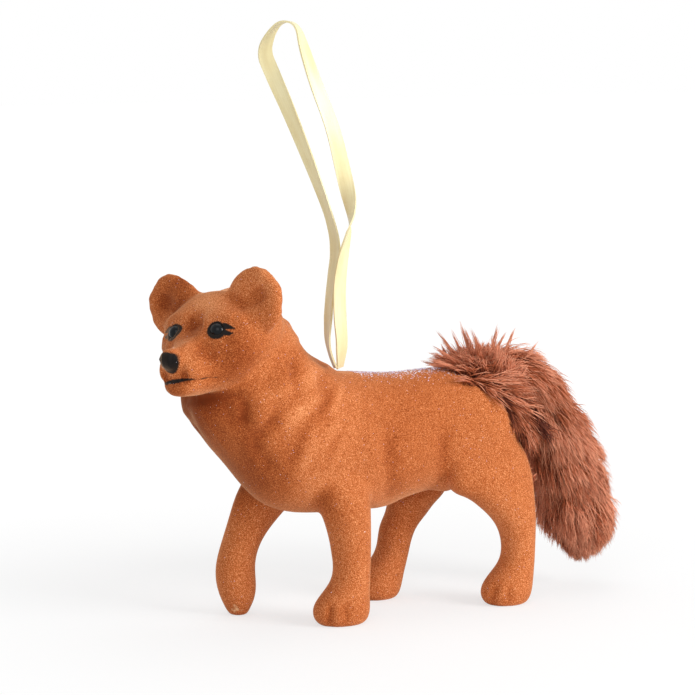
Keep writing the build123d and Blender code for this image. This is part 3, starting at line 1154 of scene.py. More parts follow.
STROKES = (
    # Muzzle: mouth slit, lips and the crease under the chin
    Stroke(((162, 384.5), (174, 383), (187, 381), (203, 379.5), (217, 378)), -0.35, 1.0, True),
    Stroke(((161, 377), (167, 378)), -1.2, 1.9, True),
    Stroke(((163, 358), (172, 359)), 1.0, 2.6),
    Stroke(((168, 391), (185, 390), (200, 387)), 0.4, 2.2, True),
    Stroke(((176, 376), (192, 373), (205, 371)), 0.3, 2.0, True),
    Stroke(((182, 399), (197, 399.5), (214, 396)), -0.6, 1.7, True),
    # Nose bridge, hollows beside it, stop between the eyes, brows and cheeks
    Stroke(((190, 342), (180, 350)), 0.4, 1.8),
    Stroke(((197, 346), (207, 351), (214, 360)), -0.6, 2.6, True),
    Stroke(((188, 319), (195, 322), (204, 321)), -0.6, 2.8, True),
    Stroke(((190, 324), (190, 337)), -0.5, 2.4),
    Stroke(((206, 317), (214, 314.5), (224, 314.5), (236, 319)), 0.9, 1.9, True),
    Stroke(((212, 345), (224, 344.5)), 0.4, 1.7, True),
    Stroke(((238, 322), (248, 316), (257, 324)), 0.6, 2.6, True),
    Stroke(((236, 334), (241, 346)), 0.6, 3.2, True),
    Stroke(((228, 354), (240, 367), (243, 384)), 0.4, 3.4, True),
    # Dish of the ears, their front fold and the crease at their roots
    Stroke(((256, 287), (262, 301)), -0.9, 4.0, True),
    Stroke(((228, 295), (238, 302), (246, 309)), -0.6, 1.5, True),
    Stroke(((280, 314), (283, 319), (288, 325)), 1.2, 3.4, True),
    Stroke(((284, 303), (284, 311)), -0.4, 2.6, True),
    Stroke(((261, 268), (270, 272), (276, 282), (279, 293)), 1.0, 3.2, True),
    Stroke(((176, 276), (190, 284)), -0.8, 2.5),
    # Mane on neck and chest
    Stroke(((246, 402), (244, 412), (243, 424)), -0.8, 1.6, True),
    Stroke(((268, 402), (262, 412), (256, 424)), 0.6, 2.0, True),
    Stroke(((277, 416), (268, 428), (259, 438)), -0.7, 2.2, True),
    Stroke(((225, 402), (229, 413), (233, 426)), -0.45, 1.6, True),
    Stroke(((284, 364), (281, 378), (284, 394)), 0.55, 2.2, True),
    Stroke(((294, 362), (296, 380), (300, 398)), -0.5, 2.0, True),
    Stroke(((307, 370), (311, 388), (310, 406)), 0.4, 2.2, True),
    Stroke(((322, 382), (328, 402), (327, 424)), -0.4, 2.6, True),
    Stroke(((256, 444), (262, 457), (273, 470)), -0.5, 2.4, True),
    Stroke(((243, 438), (250, 454), (262, 470)), 0.35, 2.2, True),
    Stroke(((292, 424), (288, 442), (294, 462)), -0.35, 2.6, True),
    # Nape and throat, drawn in
    Stroke(((302, 335), (310, 347), (320, 358), (330, 365)), -1.3, 5.0, True),
    Stroke(((183, 410), (187, 420), (195, 434)), -1.4, 4.0),
    # Throat seam, shoulder and flank
    Stroke(((196, 403), (204, 416), (213, 431), (228, 452)), 0.25, 0.6),
    Stroke(((371, 436), (374, 470), (373, 505)), 0.6, 3.0),
    Stroke(((388, 436), (391, 470), (389, 498)), -0.5, 3.2),
    Stroke(((446, 431), (446, 458), (447, 482)), -0.6, 2.6),
    Stroke(((460, 430), (458, 460), (461, 490)), 0.35, 2.8),
    Stroke(((380, 507), (400, 501), (420, 495), (435, 488), (447, 484), (458, 489)), 1.8, 3.6),
    # Toes
    Stroke(((331, 607), (329, 617), (330, 625)), -0.7, 0.9),
    Stroke(((345, 606), (347, 616), (347, 624)), -0.5, 0.9),
    Stroke(((497, 586), (493, 596), (493, 604)), -0.6, 0.9),
    Stroke(((510, 586), (509, 596), (509, 604)), -0.4, 0.9),
)


@dataclass(frozen=True)
class LightAndShadePatch:
    """A soft patch of painted shade (depth above nought) or painted light (below) round a pixel of the
    photograph, with its reach in mm.
    """

    pixel: tuple
    reach: float
    depth: float
    paired: bool = False


# Cheeks (painted shade with a deeper flock colour), far ear (painted shade), forehead (painted light), near
# ear (painted light), flank (painted shade) and hind leg (painted light)
LIGHT_AND_SHADE_PATCHES = (
    LightAndShadePatch((237, 362), 7.0, 0.16, True),
    LightAndShadePatch((172, 302), 6.0, 0.09),
    LightAndShadePatch((205, 305), 5.5, -0.11),
    LightAndShadePatch((255, 292), 5.0, -0.05),
    LightAndShadePatch((415, 418), 16.0, 0.06),
    LightAndShadePatch((515, 540), 8.0, -0.03),
)


@dataclass(frozen=True)
class InkLine:
    """A painted black line: pixels of the photograph, and the brush's reach at each in millimetres."""

    pixels: tuple
    reach: tuple


# Mouth and the two lashes
INK_LINES = (
    InkLine(((162, 384.6), (167, 383.2), (174, 381.6), (182, 380.2), (191, 379.2), (204, 378.2),
             (217, 377.4)),
            (0.20, 0.48, 0.58, 0.46, 0.26, 0.16, 0.10)),
    InkLine(((224, 326), (229, 327), (234.6, 328.6)), (0.85, 0.60, 0.12)),
    InkLine(((223, 332), (229, 333.5), (233, 333)), (0.80, 0.55, 0.10)),
)


@dataclass(frozen=True)
class ManeWaves:
    """Soft lengthwise waves on neck and chest, in millimetres and waves.

    A sway is its size, and its radians to the millimetre along the neck.
    """

    centre: tuple = (-36.0, 58.0)
    reach: float = 17.0
    along: tuple = (0.45, 0.0, 0.89)
    across: tuple = (0.89, 0.0, -0.45)
    depth: float = 40.0
    broad: float = 15.0
    narrow: float = 26.0
    broad_share: float = 0.6
    narrow_share: float = 0.4
    broad_sway: Range = (0.9, 0.21)
    narrow_sway: Range = (1.3, 0.33)
    narrow_lean: float = 0.13

    def at(self, points: np.ndarray, middle: float) -> np.ndarray:
        """How high the waves are.

        Args:
            points: Places in metres.
            middle: The trunk's middle plane along Y, in millimetres.

        Returns:
            Heights from -1 to 1.
        """
        spot = points / MM
        ahead, above = spot[:, 0] - self.centre[0], spot[:, 2] - self.centre[1]
        neck = np.exp(-((ahead / self.reach) ** 2 + (above / self.reach) ** 2) ** 2)
        along = spot @ np.array(self.along)
        around = np.arctan2(spot[:, 1] - middle, -(spot @ np.array(self.across)) - self.depth)
        (broad_size, broad_run), (narrow_size, narrow_run) = self.broad_sway, self.narrow_sway
        broad = np.sin(around * self.broad + broad_size * np.sin(along * broad_run))
        lean = along * self.narrow_lean
        narrow = np.sin(around * self.narrow + lean + narrow_size * np.sin(along * narrow_run))
        return (self.broad_share * broad + self.narrow_share * narrow) * neck


@dataclass(frozen=True)
class ChestShadeAndColour:
    """Darker flock on the chest where it faces away from the key lamp: painted shade with a deeper flock
    colour, faded out by direction and by place in millimetres.
    """

    depth: float = 0.19
    facing: Range = (1.6, 0.3)
    bottom: float = 24.0
    back: float = 12.0
    run: float = 14.0
    under_head: float = 9.0
    head_run: float = 5.0

    def at(self, points: np.ndarray, normals: np.ndarray, head: np.ndarray) -> np.ndarray:
        """How much darker the flock is, by painted shade with a deeper flock colour.

        Args:
            points: Places in metres.
            normals: The skin's directions there.
            head: The places in the head's own frame, in millimetres.

        Returns:
            One number for each place.
        """
        slope, least = self.facing
        # Painted shade where the chest faces away from the key lamp
        chest = np.clip(-normals[:, 0] * slope - least, 0, 1) * fade(points[:, 2] / MM, self.bottom, self.run)
        front = fade(-points[:, 0] / MM, self.back, self.run)
        chest *= front * fade(-head[:, 2], self.under_head, self.head_run)
        return chest * self.depth


@dataclass(frozen=True)
class CreaseFill:
    """How far the creases between joined forms are filled, less on the face and under the chin."""

    start: float = 0.012
    run: float = 0.03
    spread: int = 10
    growth: float = 1.02
    blur: int = 6
    face_front: float = -1.0
    face_bottom: float = -14.0
    face_share: float = 0.25
    chin_front: float = 2.0
    chin_top: float = -11.0
    chin_share: float = 0.2
    share: float = 0.6
    rounds: int = 45

    def at(self, near: Neighbours, dent: np.ndarray, head: np.ndarray) -> np.ndarray:
        """The share of filling at each vertex.

        Args:
            near: The skin's neighbours.
            dent: How far each vertex lies below its neighbours, in millimetres.
            head: The vertices in the head's own frame, in millimetres.

        Returns:
            Shares from 0 to 1.
        """
        weight = fade(dent, self.start, self.run)
        for _ in range(self.spread):
            weight = np.maximum(weight, near.mean(weight) * self.growth)
        weight = np.clip(weight, 0, 1)
        for _ in range(self.blur):
            weight = near.mean(weight)
        face = (head[:, 0] < self.face_front) & (head[:, 2] > self.face_bottom)
        chin = (head[:, 0] < self.chin_front) & (head[:, 2] <= self.chin_top)
        return weight * np.where(face, self.face_share, 1.0) * np.where(chin, self.chin_share, 1.0)


@dataclass(frozen=True)
class NosePaint:
    """The black of the nose in the head's own frame, in millimetres."""

    height: float = -4.9
    half_width: float = 3.1
    half_height: float = 2.8
    flare: float = 0.24
    flare_limit: float = 1.2
    back: float = -11.5
    scale: float = 2.6

    def at(self, head: np.ndarray) -> np.ndarray:
        """How far places are outside the paint.

        Args:
            head: Places in the head's own frame, in millimetres.

        Returns:
            Millimetres, less than nought inside the paint.
        """
        rise = (head[:, 2] - self.height) / self.half_height
        level = np.clip(rise, -self.flare_limit, self.flare_limit)
        nose = np.sqrt((head[:, 1] / (self.half_width * (1 + self.flare * level))) ** 2 + rise ** 2)
        return np.where(head[:, 0] < self.back, (nose - 1) * self.scale, UNPAINTED)


@dataclass
class FlockCoat:
    """The flocked skin over trunk, head, legs and ears, in millimetres and degrees."""

    camera: PhotoCamera
    voxel: float = 0.62
    pile: float = 0.22
    plug_depth: float = 3.9
    plug_diameter: float = 7.0
    plug_segments: int = 24
    plug_rings: int = 12
    step_rounds: int = 8
    last_rounds: int = 3
    rise_rounds: int = 2
    head_offset: tuple = (-37.5, -3.0, 11.483)
    head_turn: float = 25.0
    head_roll: float = -7.0
    head_bottom: float = -16.0
    fine_box: tuple = ((-24.0, -17.0, -15.5), (3.0, 17.0, 9.0))
    fine_reach: float = 1.2
    search_reach: float = 90.0
    search_steps: int = 91
    stroke_end: float = 0.45
    stroke_taper: float = 5.0
    wave_rise: float = 0.16
    # Painted light on the mane's wave crests and painted shade in their troughs, then painted shade for each
    # millimetre a groove sinks
    wave_light_and_shade: float = 0.08
    groove_shade: float = 0.15
    groove_limit: float = 1.4
    bead_diameter: float = 4.2
    bead_room: float = 0.28
    bead_seat: float = 0.72
    rim_reach: float = 3.6
    rim_run: float = 0.8
    rim_share: float = 0.4
    rim_rounds: int = 3
    lid: float = 0.78
    lid_drop: float = 0.45
    far_lid: float = 0.6
    toe_pixel: tuple = (236, 609)
    toe_reach: float = 2.4
    toe_wear: float = 0.48
    creases: CreaseFill = CreaseFill()
    mane: ManeWaves = ManeWaves()
    chest: ChestShadeAndColour = ChestShadeAndColour()
    nose: NosePaint = NosePaint()
    nodes: tuple = (
        "torso_shell_left", "torso_shell_right", "head_shell_left", "head_shell_right",
        "leg_front_left", "leg_front_right", "leg_hind_left", "leg_hind_right", "ear_left", "ear_right",
    )
    fillers: tuple = ("eye_left", "eye_right", "tail_dowel")
    piece: Piece = field(init=False, default=None)

    @property
    def middle(self) -> float:
        """The trunk's middle plane, in millimetres along Y."""
        return PIVOTS["tail_lift"].y

    def head_frame(self) -> np.ndarray:
        """The head's own frame, which faces along its -X.

        Returns:
            The frame as four rows of four numbers.
        """
        turn = Matrix.Rotation(math.radians(self.head_turn), 4, "Z")
        roll = Matrix.Rotation(math.radians(self.head_roll), 4, "X")
        place = (PIVOTS["ribbon_swing"] + Vector(self.head_offset)) * MM
        return np.array(Matrix.Translation(place) @ turn @ roll)

    def to_head(self, points: np.ndarray) -> np.ndarray:
        """Places in the head's own frame."""
        head = self.head_frame()
        return (points - head[:3, 3]) @ head[:3, :3]

    def from_head(self, points: np.ndarray) -> np.ndarray:
        """Places of the head's own frame in the figure's."""
        head = self.head_frame()
        return points @ head[:3, :3].T + head[:3, 3]

    def bead_centre(self, side: Side) -> np.ndarray:
        """The middle of a bead eye, from the solid's own box.

        Args:
            side: The eye's side.

        Returns:
            A place in metres.
        """
        low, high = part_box(f"eye_{side.name.lower()}")
        half = self.bead_diameter / 2 * MM
        aside = low.y + half if side is Side.LEFT else high.y - half
        return np.array((low.x + half, aside, high.z - half))

    def build(self, finish: FlockFinish) -> None:
        """Makes the skin: joined forms, remeshed, softened, sculpted and painted.

        Args:
            finish: The flock.
        """
        self.join_forms()
        self.remesh()
        self.soften()
        self.refine_head()
        self.sculpt()
        self.seat_beads()
        self.paint()
        select_only(self.piece)
        bpy.ops.object.shade_smooth()
        dress(self.piece, finish.build(), Body.FIGURE)
        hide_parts(*self.nodes)

    def join_forms(self) -> None:
        """Joins copies of the solids, with a plug in the ribbon's hole."""
        bpy.ops.object.select_all(action="DESELECT")
        bpy.ops.mesh.primitive_uv_sphere_add(
            segments=self.plug_segments, ring_count=self.plug_rings, radius=self.plug_diameter / 2 * MM,
            location=(PIVOTS["ribbon_swing"] - Vector((0, 0, self.plug_depth))) * MM)
        self.piece = bpy.context.active_object
        bpy.ops.object.transform_apply(location=True, rotation=True, scale=True)
        for name in self.nodes + self.fillers:
            copy_solid(name, f"{name}_form").select_set(True)
        bpy.ops.object.join()
        self.piece.name = self.piece.data.name = "flock_coat"
        merge_corners(self.piece)

    def remesh(self) -> None:
        """Melts the joined forms into one skin and drops what lies inside it."""
        apply_modifier(self.piece, "DISPLACE", strength=self.pile * MM, mid_level=0.0)
        apply_modifier(self.piece, "REMESH", mode="VOXEL", voxel_size=self.voxel * MM)
        heights = read_points(self.piece)[:, 2]
        mark(self.piece, Element.VERTEX, np.arange(len(heights)) == np.argmin(heights))
        with editing(self.piece):
            bpy.ops.mesh.select_linked()
            bpy.ops.mesh.select_all(action="INVERT")
            bpy.ops.mesh.delete(type="VERT")

    def soften(self) -> None:
        """Takes the steps out of the skin and fills the creases where forms meet."""
        near = Neighbours(self.piece)
        points = near.relax(read_points(self.piece), HALF_WAY, self.step_rounds)
        write_points(self.piece, points)
        normals = read_normals(self.piece)
        dent = row_dots(near.mean(points) - points, normals) / MM
        weight = self.creases.at(near, dent, self.to_head(points) / MM)
        smooth = near.relax(points, weight * self.creases.share, self.creases.rounds)
        fill = np.maximum(row_dots(smooth - points, normals), 0)
        filled = points + normals * fill[:, None]
        write_points(self.piece, near.relax(filled, HALF_WAY, self.last_rounds))

    def refine_head(self) -> None:
        """Divides the faces of the head, and those along its painted lines once more."""
        low, high = np.array(self.fine_box)
        head = self.to_head(read_faces(self.piece, "center")) / MM
        divide(self.piece, np.all((head > low) & (head < high), axis=1))
        tree = self.tree()
        centres = read_faces(self.piece, "center")
        along_lines = np.zeros(len(centres), dtype=bool)
        for ink in INK_LINES:
            line = self.on_skin(tree, ink.pixels)
            for run in (line, self.mirrored(tree, line)):
                along_lines |= distance_to_line(centres, run)[0] < self.fine_reach * MM
        divide(self.piece, along_lines)
        near = Neighbours(self.piece)
        write_points(self.piece, near.relax(read_points(self.piece), HALF_WAY, self.last_rounds))

    def tree(self) -> BVHTree:
        """A search tree over the skin as it is now."""
        polygons = [tuple(face.vertices) for face in self.piece.data.polygons]
        return BVHTree.FromPolygons([tuple(spot) for spot in read_points(self.piece)], polygons)

    def on_skin(self, tree: BVHTree, pixels: Sequence) -> np.ndarray:
        """Where lines of sight through pixels meet the skin, or pass nearest to it.

        Args:
            tree: The skin's search tree.
            pixels: Places in the photograph.

        Returns:
            Places on the skin.
        """
        start, end = self.camera.distance - self.search_reach, self.camera.distance + self.search_reach
        depths = np.linspace(start, end, self.search_steps) * MM
        spots = []
        for across, down in pixels:
            origin, way = self.camera.ray(across, down)
            spot, *_ = tree.ray_cast(origin, way)
            if spot is None:
                spot = min((tree.find_nearest(origin + way * d) for d in depths), key=lambda hit: hit[3])[0]
            spots.append(spot)
        return np.array(spots)

    def mirrored(self, tree: BVHTree, line: np.ndarray) -> np.ndarray:
        """A line carried to the other side of the head or the trunk.

        Args:
            tree: The skin's search tree.
            line: Places on the skin.

        Returns:
            Places on the skin's other side.
        """
        head = self.to_head(line) / MM
        if head[:, 2].mean() > self.head_bottom:
            head[:, 1] *= -1
            other = self.from_head(head * MM)
        else:
            other = line.copy()
            other[:, 1] = 2 * self.middle * MM - other[:, 1]
        return np.array([tree.find_nearest(Vector(spot))[0] for spot in other])

    def far_part(self, tree: BVHTree, line: np.ndarray, reach: np.ndarray) -> tuple[np.ndarray, np.ndarray]:
        """A painted line's other half, from where the line itself ends on the far side.

        Args:
            tree: The skin's search tree.
            line: The line as it is seen in the photograph.
            reach: The brush's reach at the line's points.

        Returns:
            The other half and its reach.
        """
        far_line = self.mirrored(tree, line)
        end = self.to_head(line)[:, 1].max()
        if end <= 0:
            return far_line, reach
        beyond = self.to_head(far_line)[:, 1] > end
        return np.concatenate([line[:1], far_line[beyond]]), np.concatenate([reach[:1], reach[beyond]])

    def sculpt(self) -> None:
        """Raises and sinks the strokes, adds the mane's waves and stores the flock's painted shade in sunk
        grooves and wave troughs, painted light on wave crests, and the chest's and patches' painted light and
        shade.
        """
        tree = self.tree()
        points = read_points(self.piece)
        normals = read_normals(self.piece)
        rise = np.zeros(len(points))
        for stroke in STROKES:
            lines = [self.on_skin(tree, stroke.pixels)]
            if stroke.paired:
                lines.append(self.mirrored(tree, lines[0]))
            for line in lines:
                gap, share = distance_to_line(points, line)
                ends = np.clip(np.minimum(share, 1 - share) * self.stroke_taper + self.stroke_end, 0, 1)
                rise += stroke.rise * bell(gap / MM, stroke.width) * ends
        waves = self.mane.at(points, self.middle)
        # Painted shade in sunk grooves and wave troughs, painted light on wave crests
        relief_shade = np.clip(-rise, 0, self.groove_limit) * self.groove_shade - waves * self.wave_light_and_shade
        write_attribute(self.piece, "shade_light_colour", relief_shade + self.painted_shade_and_colour(tree, points, normals))
        rise += waves * self.wave_rise
        near = Neighbours(self.piece)
        for _ in range(self.rise_rounds):
            rise = HALF_WAY * rise + HALF_WAY * near.mean(rise)
        moved = points + normals * (rise * MM)[:, None]
        moved[:, 2] = np.maximum(moved[:, 2], 0.0)
        write_points(self.piece, moved)

    def painted_shade_and_colour(self, tree: BVHTree, points: np.ndarray, normals: np.ndarray) -> np.ndarray:
        """How much the flock is darkened by painted shade or lightened by painted light, on the chest and in
        the patches, with a deeper flock colour on chest and cheeks.

        Args:
            tree: The skin's search tree.
            points: The skin's vertices.
            normals: Their directions.

        Returns:
            One number for each vertex.
        """
        depth = self.chest.at(points, normals, self.to_head(points) / MM)
        # Patches of painted light and painted shade
        for shade_patch in LIGHT_AND_SHADE_PATCHES:
            spots = self.on_skin(tree, (shade_patch.pixel,))
            if shade_patch.paired:
                spots = np.concatenate([spots, self.mirrored(tree, spots)])
            for spot in spots:
                depth += shade_patch.depth * bell(np.linalg.norm(points - spot, axis=1) / MM, shade_patch.reach)
        return depth

    def seat_beads(self) -> None:
        """Sinks the skin under each bead so that the bead stands clear in its lids."""
        points = read_points(self.piece)
        half = self.bead_diameter / 2 * MM
        for side in Side:
            centre = self.bead_centre(side)
            way = points - centre
            gap = np.linalg.norm(way, axis=1)
            inside = gap < half + self.bead_room * MM
            points[inside] = centre + way[inside] / gap[inside, None] * (half * self.bead_seat)
        rims = np.zeros(len(points))
        for side in Side:
            gap = np.linalg.norm(points - self.bead_centre(side), axis=1) / MM
            rim = np.clip((self.rim_reach - gap) / self.rim_run, 0, 1) * (gap > self.bead_diameter / 2)
            rims = np.maximum(rims, rim)
        face = self.to_head(points)[:, 0] < self.fine_box[1][0] * MM
        near = Neighbours(self.piece)
        write_points(self.piece, near.relax(points, rims * self.rim_share * face, self.rim_rounds))

    def lid_gap(self, side: Side, head: np.ndarray) -> np.ndarray:
        """How far places are outside a painted eyelid.

        Args:
            side: The eye's side.
            head: Places in the head's own frame, in millimetres.

        Returns:
            Millimetres, less than nought inside the paint.
        """
        inward = self.far_lid if side is Side.RIGHT else 0.0
        reach = self.bead_diameter / 2 + self.lid
        centre = self.to_head(self.bead_centre(side)[None])[0] / MM
        way = head - centre + np.array((0, inward, self.lid_drop))
        way[:, 1] /= 1 + inward / reach
        return np.linalg.norm(way, axis=1) - reach

    def paint(self) -> None:
        """Stores how far each vertex is from painted black, in millimetres, and the worn toe."""
        tree = self.tree()
        points = read_points(self.piece)
        head = self.to_head(points) / MM
        away = np.minimum(self.nose.at(head), UNPAINTED)
        for ink in INK_LINES:
            near_line, near_reach = self.on_skin(tree, ink.pixels), np.array(ink.reach)
            for line, reach in ((near_line, near_reach), self.far_part(tree, near_line, near_reach)):
                gap, share = distance_to_line(points, line)
                away = np.minimum(away, gap / MM - np.interp(share, np.linspace(0, 1, len(reach)), reach))
        for side in Side:
            away = np.minimum(away, self.lid_gap(side, head))
        write_attribute(self.piece, "ink", away)
        toe = self.on_skin(tree, (self.toe_pixel,))[0]
        gap = np.linalg.norm(points - toe, axis=1) / MM
        write_attribute(self.piece, "worn", np.clip(1 - gap / self.toe_reach, 0, 1) * self.toe_wear)


@dataclass
class BeadEyes:
    """The two glossy bead eyes on their pins, in millimetres and degrees."""

    coat: FlockCoat
    pin_diameter: float = 1.2
    pin_length: float = 4.0
    pin_start: float = 0.96
    segments: int = 40
    rings: int = 24
    sharp_angle: float = 40.0

    def build(self, finish: BeadFinish) -> None:
        """Makes both beads.

        Args:
            finish: The bead's gloss.
        """
        material = finish.build()
        for side in Side:
            self.build_bead(side, material)

    def build_bead(self, side: Side, material: bpy.types.Material) -> None:
        """Makes one bead with its pin drawn out of its back.

        Args:
            side: The eye's side.
            material: The bead's gloss.
        """
        centre = Vector(self.coat.bead_centre(side))
        name = side.name.lower()
        low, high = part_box(f"eye_{name}")
        rear = Vector((high.x, high.y if side is Side.LEFT else low.y, low.z))
        half = self.coat.bead_diameter / 2 * MM
        bpy.ops.object.select_all(action="DESELECT")
        bpy.ops.mesh.primitive_uv_sphere_add(segments=self.segments, ring_count=self.rings, radius=half)
        bead = bpy.context.active_object
        bead.name = bead.data.name = f"bead_eye_{name}"
        cap = math.sqrt(half ** 2 - (self.pin_diameter / 2 * MM) ** 2)
        mark(bead, Element.FACE, read_faces(bead, "center")[:, 2] < -cap * self.pin_start)
        with editing(bead):
            bpy.ops.mesh.extrude_region_move(TRANSFORM_OT_translate={"value": (0, 0, -self.pin_length * MM)})
        turn = (centre - rear).normalized().to_track_quat("Z", "Y").to_matrix().to_4x4()
        bead.data.transform(Matrix.Translation(centre) @ turn)
        bpy.ops.object.shade_smooth_by_angle(angle=math.radians(self.sharp_angle))
        dress(bead, material, Body.FIGURE)
        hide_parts(f"eye_{name}")


# Fur tail


def either(draw: np.random.Generator, flags: np.ndarray, first: Range, second: Range) -> np.ndarray:
    """Numbers drawn from one range where a flag is set, and from another where it isn't.

    Args:
        draw: The seeded source of chance.
        flags: A flag for each number.
        first: The range where it is set.
        second: The range where it isn't.

    Returns:
        The numbers.
    """
    return np.where(flags, draw.uniform(*first, len(flags)), draw.uniform(*second, len(flags)))


@dataclass
class Fibres:
    """Fibres of one kind: four control points for each, its tone and its thickness, in millimetres.

    Each has rings at the stops along it, with a slimness for each stop, and across sets how they are turned.
    """

    curves: np.ndarray
    tone: np.ndarray
    thick: np.ndarray
    stops: tuple = (0.0, 0.34, 0.62, 0.84)
    slim: tuple = (1.0, 1.05, 0.85, 0.52)
    across: tuple = (0.31, 0.87, 0.38)

    def held(self, flags: np.ndarray) -> "Fibres":
        """The flagged fibres alone."""
        return Fibres(self.curves[flags], self.tone[flags], self.thick[flags])

    def build(self, name: str) -> Piece:
        """Tapered three-sided fibres along their curves.

        Args:
            name: The piece's name.

        Returns:
            The piece, not dressed yet.
        """
        count, rings = len(self.curves), len(self.stops)
        per = rings * 3 + 1
        a, b, c, d = (self.curves[:, index] for index in range(4))
        points = np.empty((count, per, 3))
        along = np.ones((count, per))
        for ring, (stop, slim) in enumerate(zip(self.stops, self.slim)):
            left = 1 - stop
            spot = left ** 3 * a + 3 * left ** 2 * stop * b + 3 * left * stop ** 2 * c + stop ** 3 * d
            way = unit(left ** 2 * (b - a) + 2 * left * stop * (c - b) + stop ** 2 * (d - c))
            side = unit(np.cross(way, np.array(self.across)))
            rise = np.cross(way, side)
            for corner in range(3):
                turn = 2 * math.pi * corner / 3
                ray = side * math.cos(turn) + rise * math.sin(turn)
                points[:, ring * 3 + corner] = spot + ray * (self.thick * slim)[:, None]
            along[:, ring * 3:ring * 3 + 3] = stop
        points[:, -1] = d
        quads = [(r * 3 + k, r * 3 + (k + 1) % 3, (r + 1) * 3 + (k + 1) % 3, (r + 1) * 3 + k)
                 for r in range(rings - 1) for k in range(3)]
        last = (rings - 1) * 3
        threes = [(last + k, last + (k + 1) % 3, per - 1) for k in range(3)] + [(2, 1, 0)]
        shift = np.arange(count)[:, None, None] * per
        faces = [face for kind in (quads, threes)
                 for face in (np.array(kind)[None] + shift).reshape(-1, len(kind[0])).tolist()]
        piece = new_piece(name, (points.reshape(-1, 3) * MM).tolist(), faces)
        write_attribute(piece, "along", along.ravel())
        write_attribute(piece, "tone", np.repeat(self.tone, per))
        select_only(piece)
        bpy.ops.object.shade_smooth()
        return piece


@dataclass(frozen=True)
class Brush:
    """A station of the tail: back and up from its pivot, and the brush's diameter, in millimetres."""

    back: float
    up: float
    diameter: float


TAIL_BRUSH = (
    Brush(-2.5, -1.0, 11.0),
    Brush(5.5, 1.6, 12.5),
    Brush(11.8, -6.2, 14.8),
    Brush(17.8, -17.4, 16.4),
    Brush(23.2, -30.2, 18.2),
    Brush(27.6, -44.0, 17.2),
    Brush(29.6, -53.0, 11.0),
)


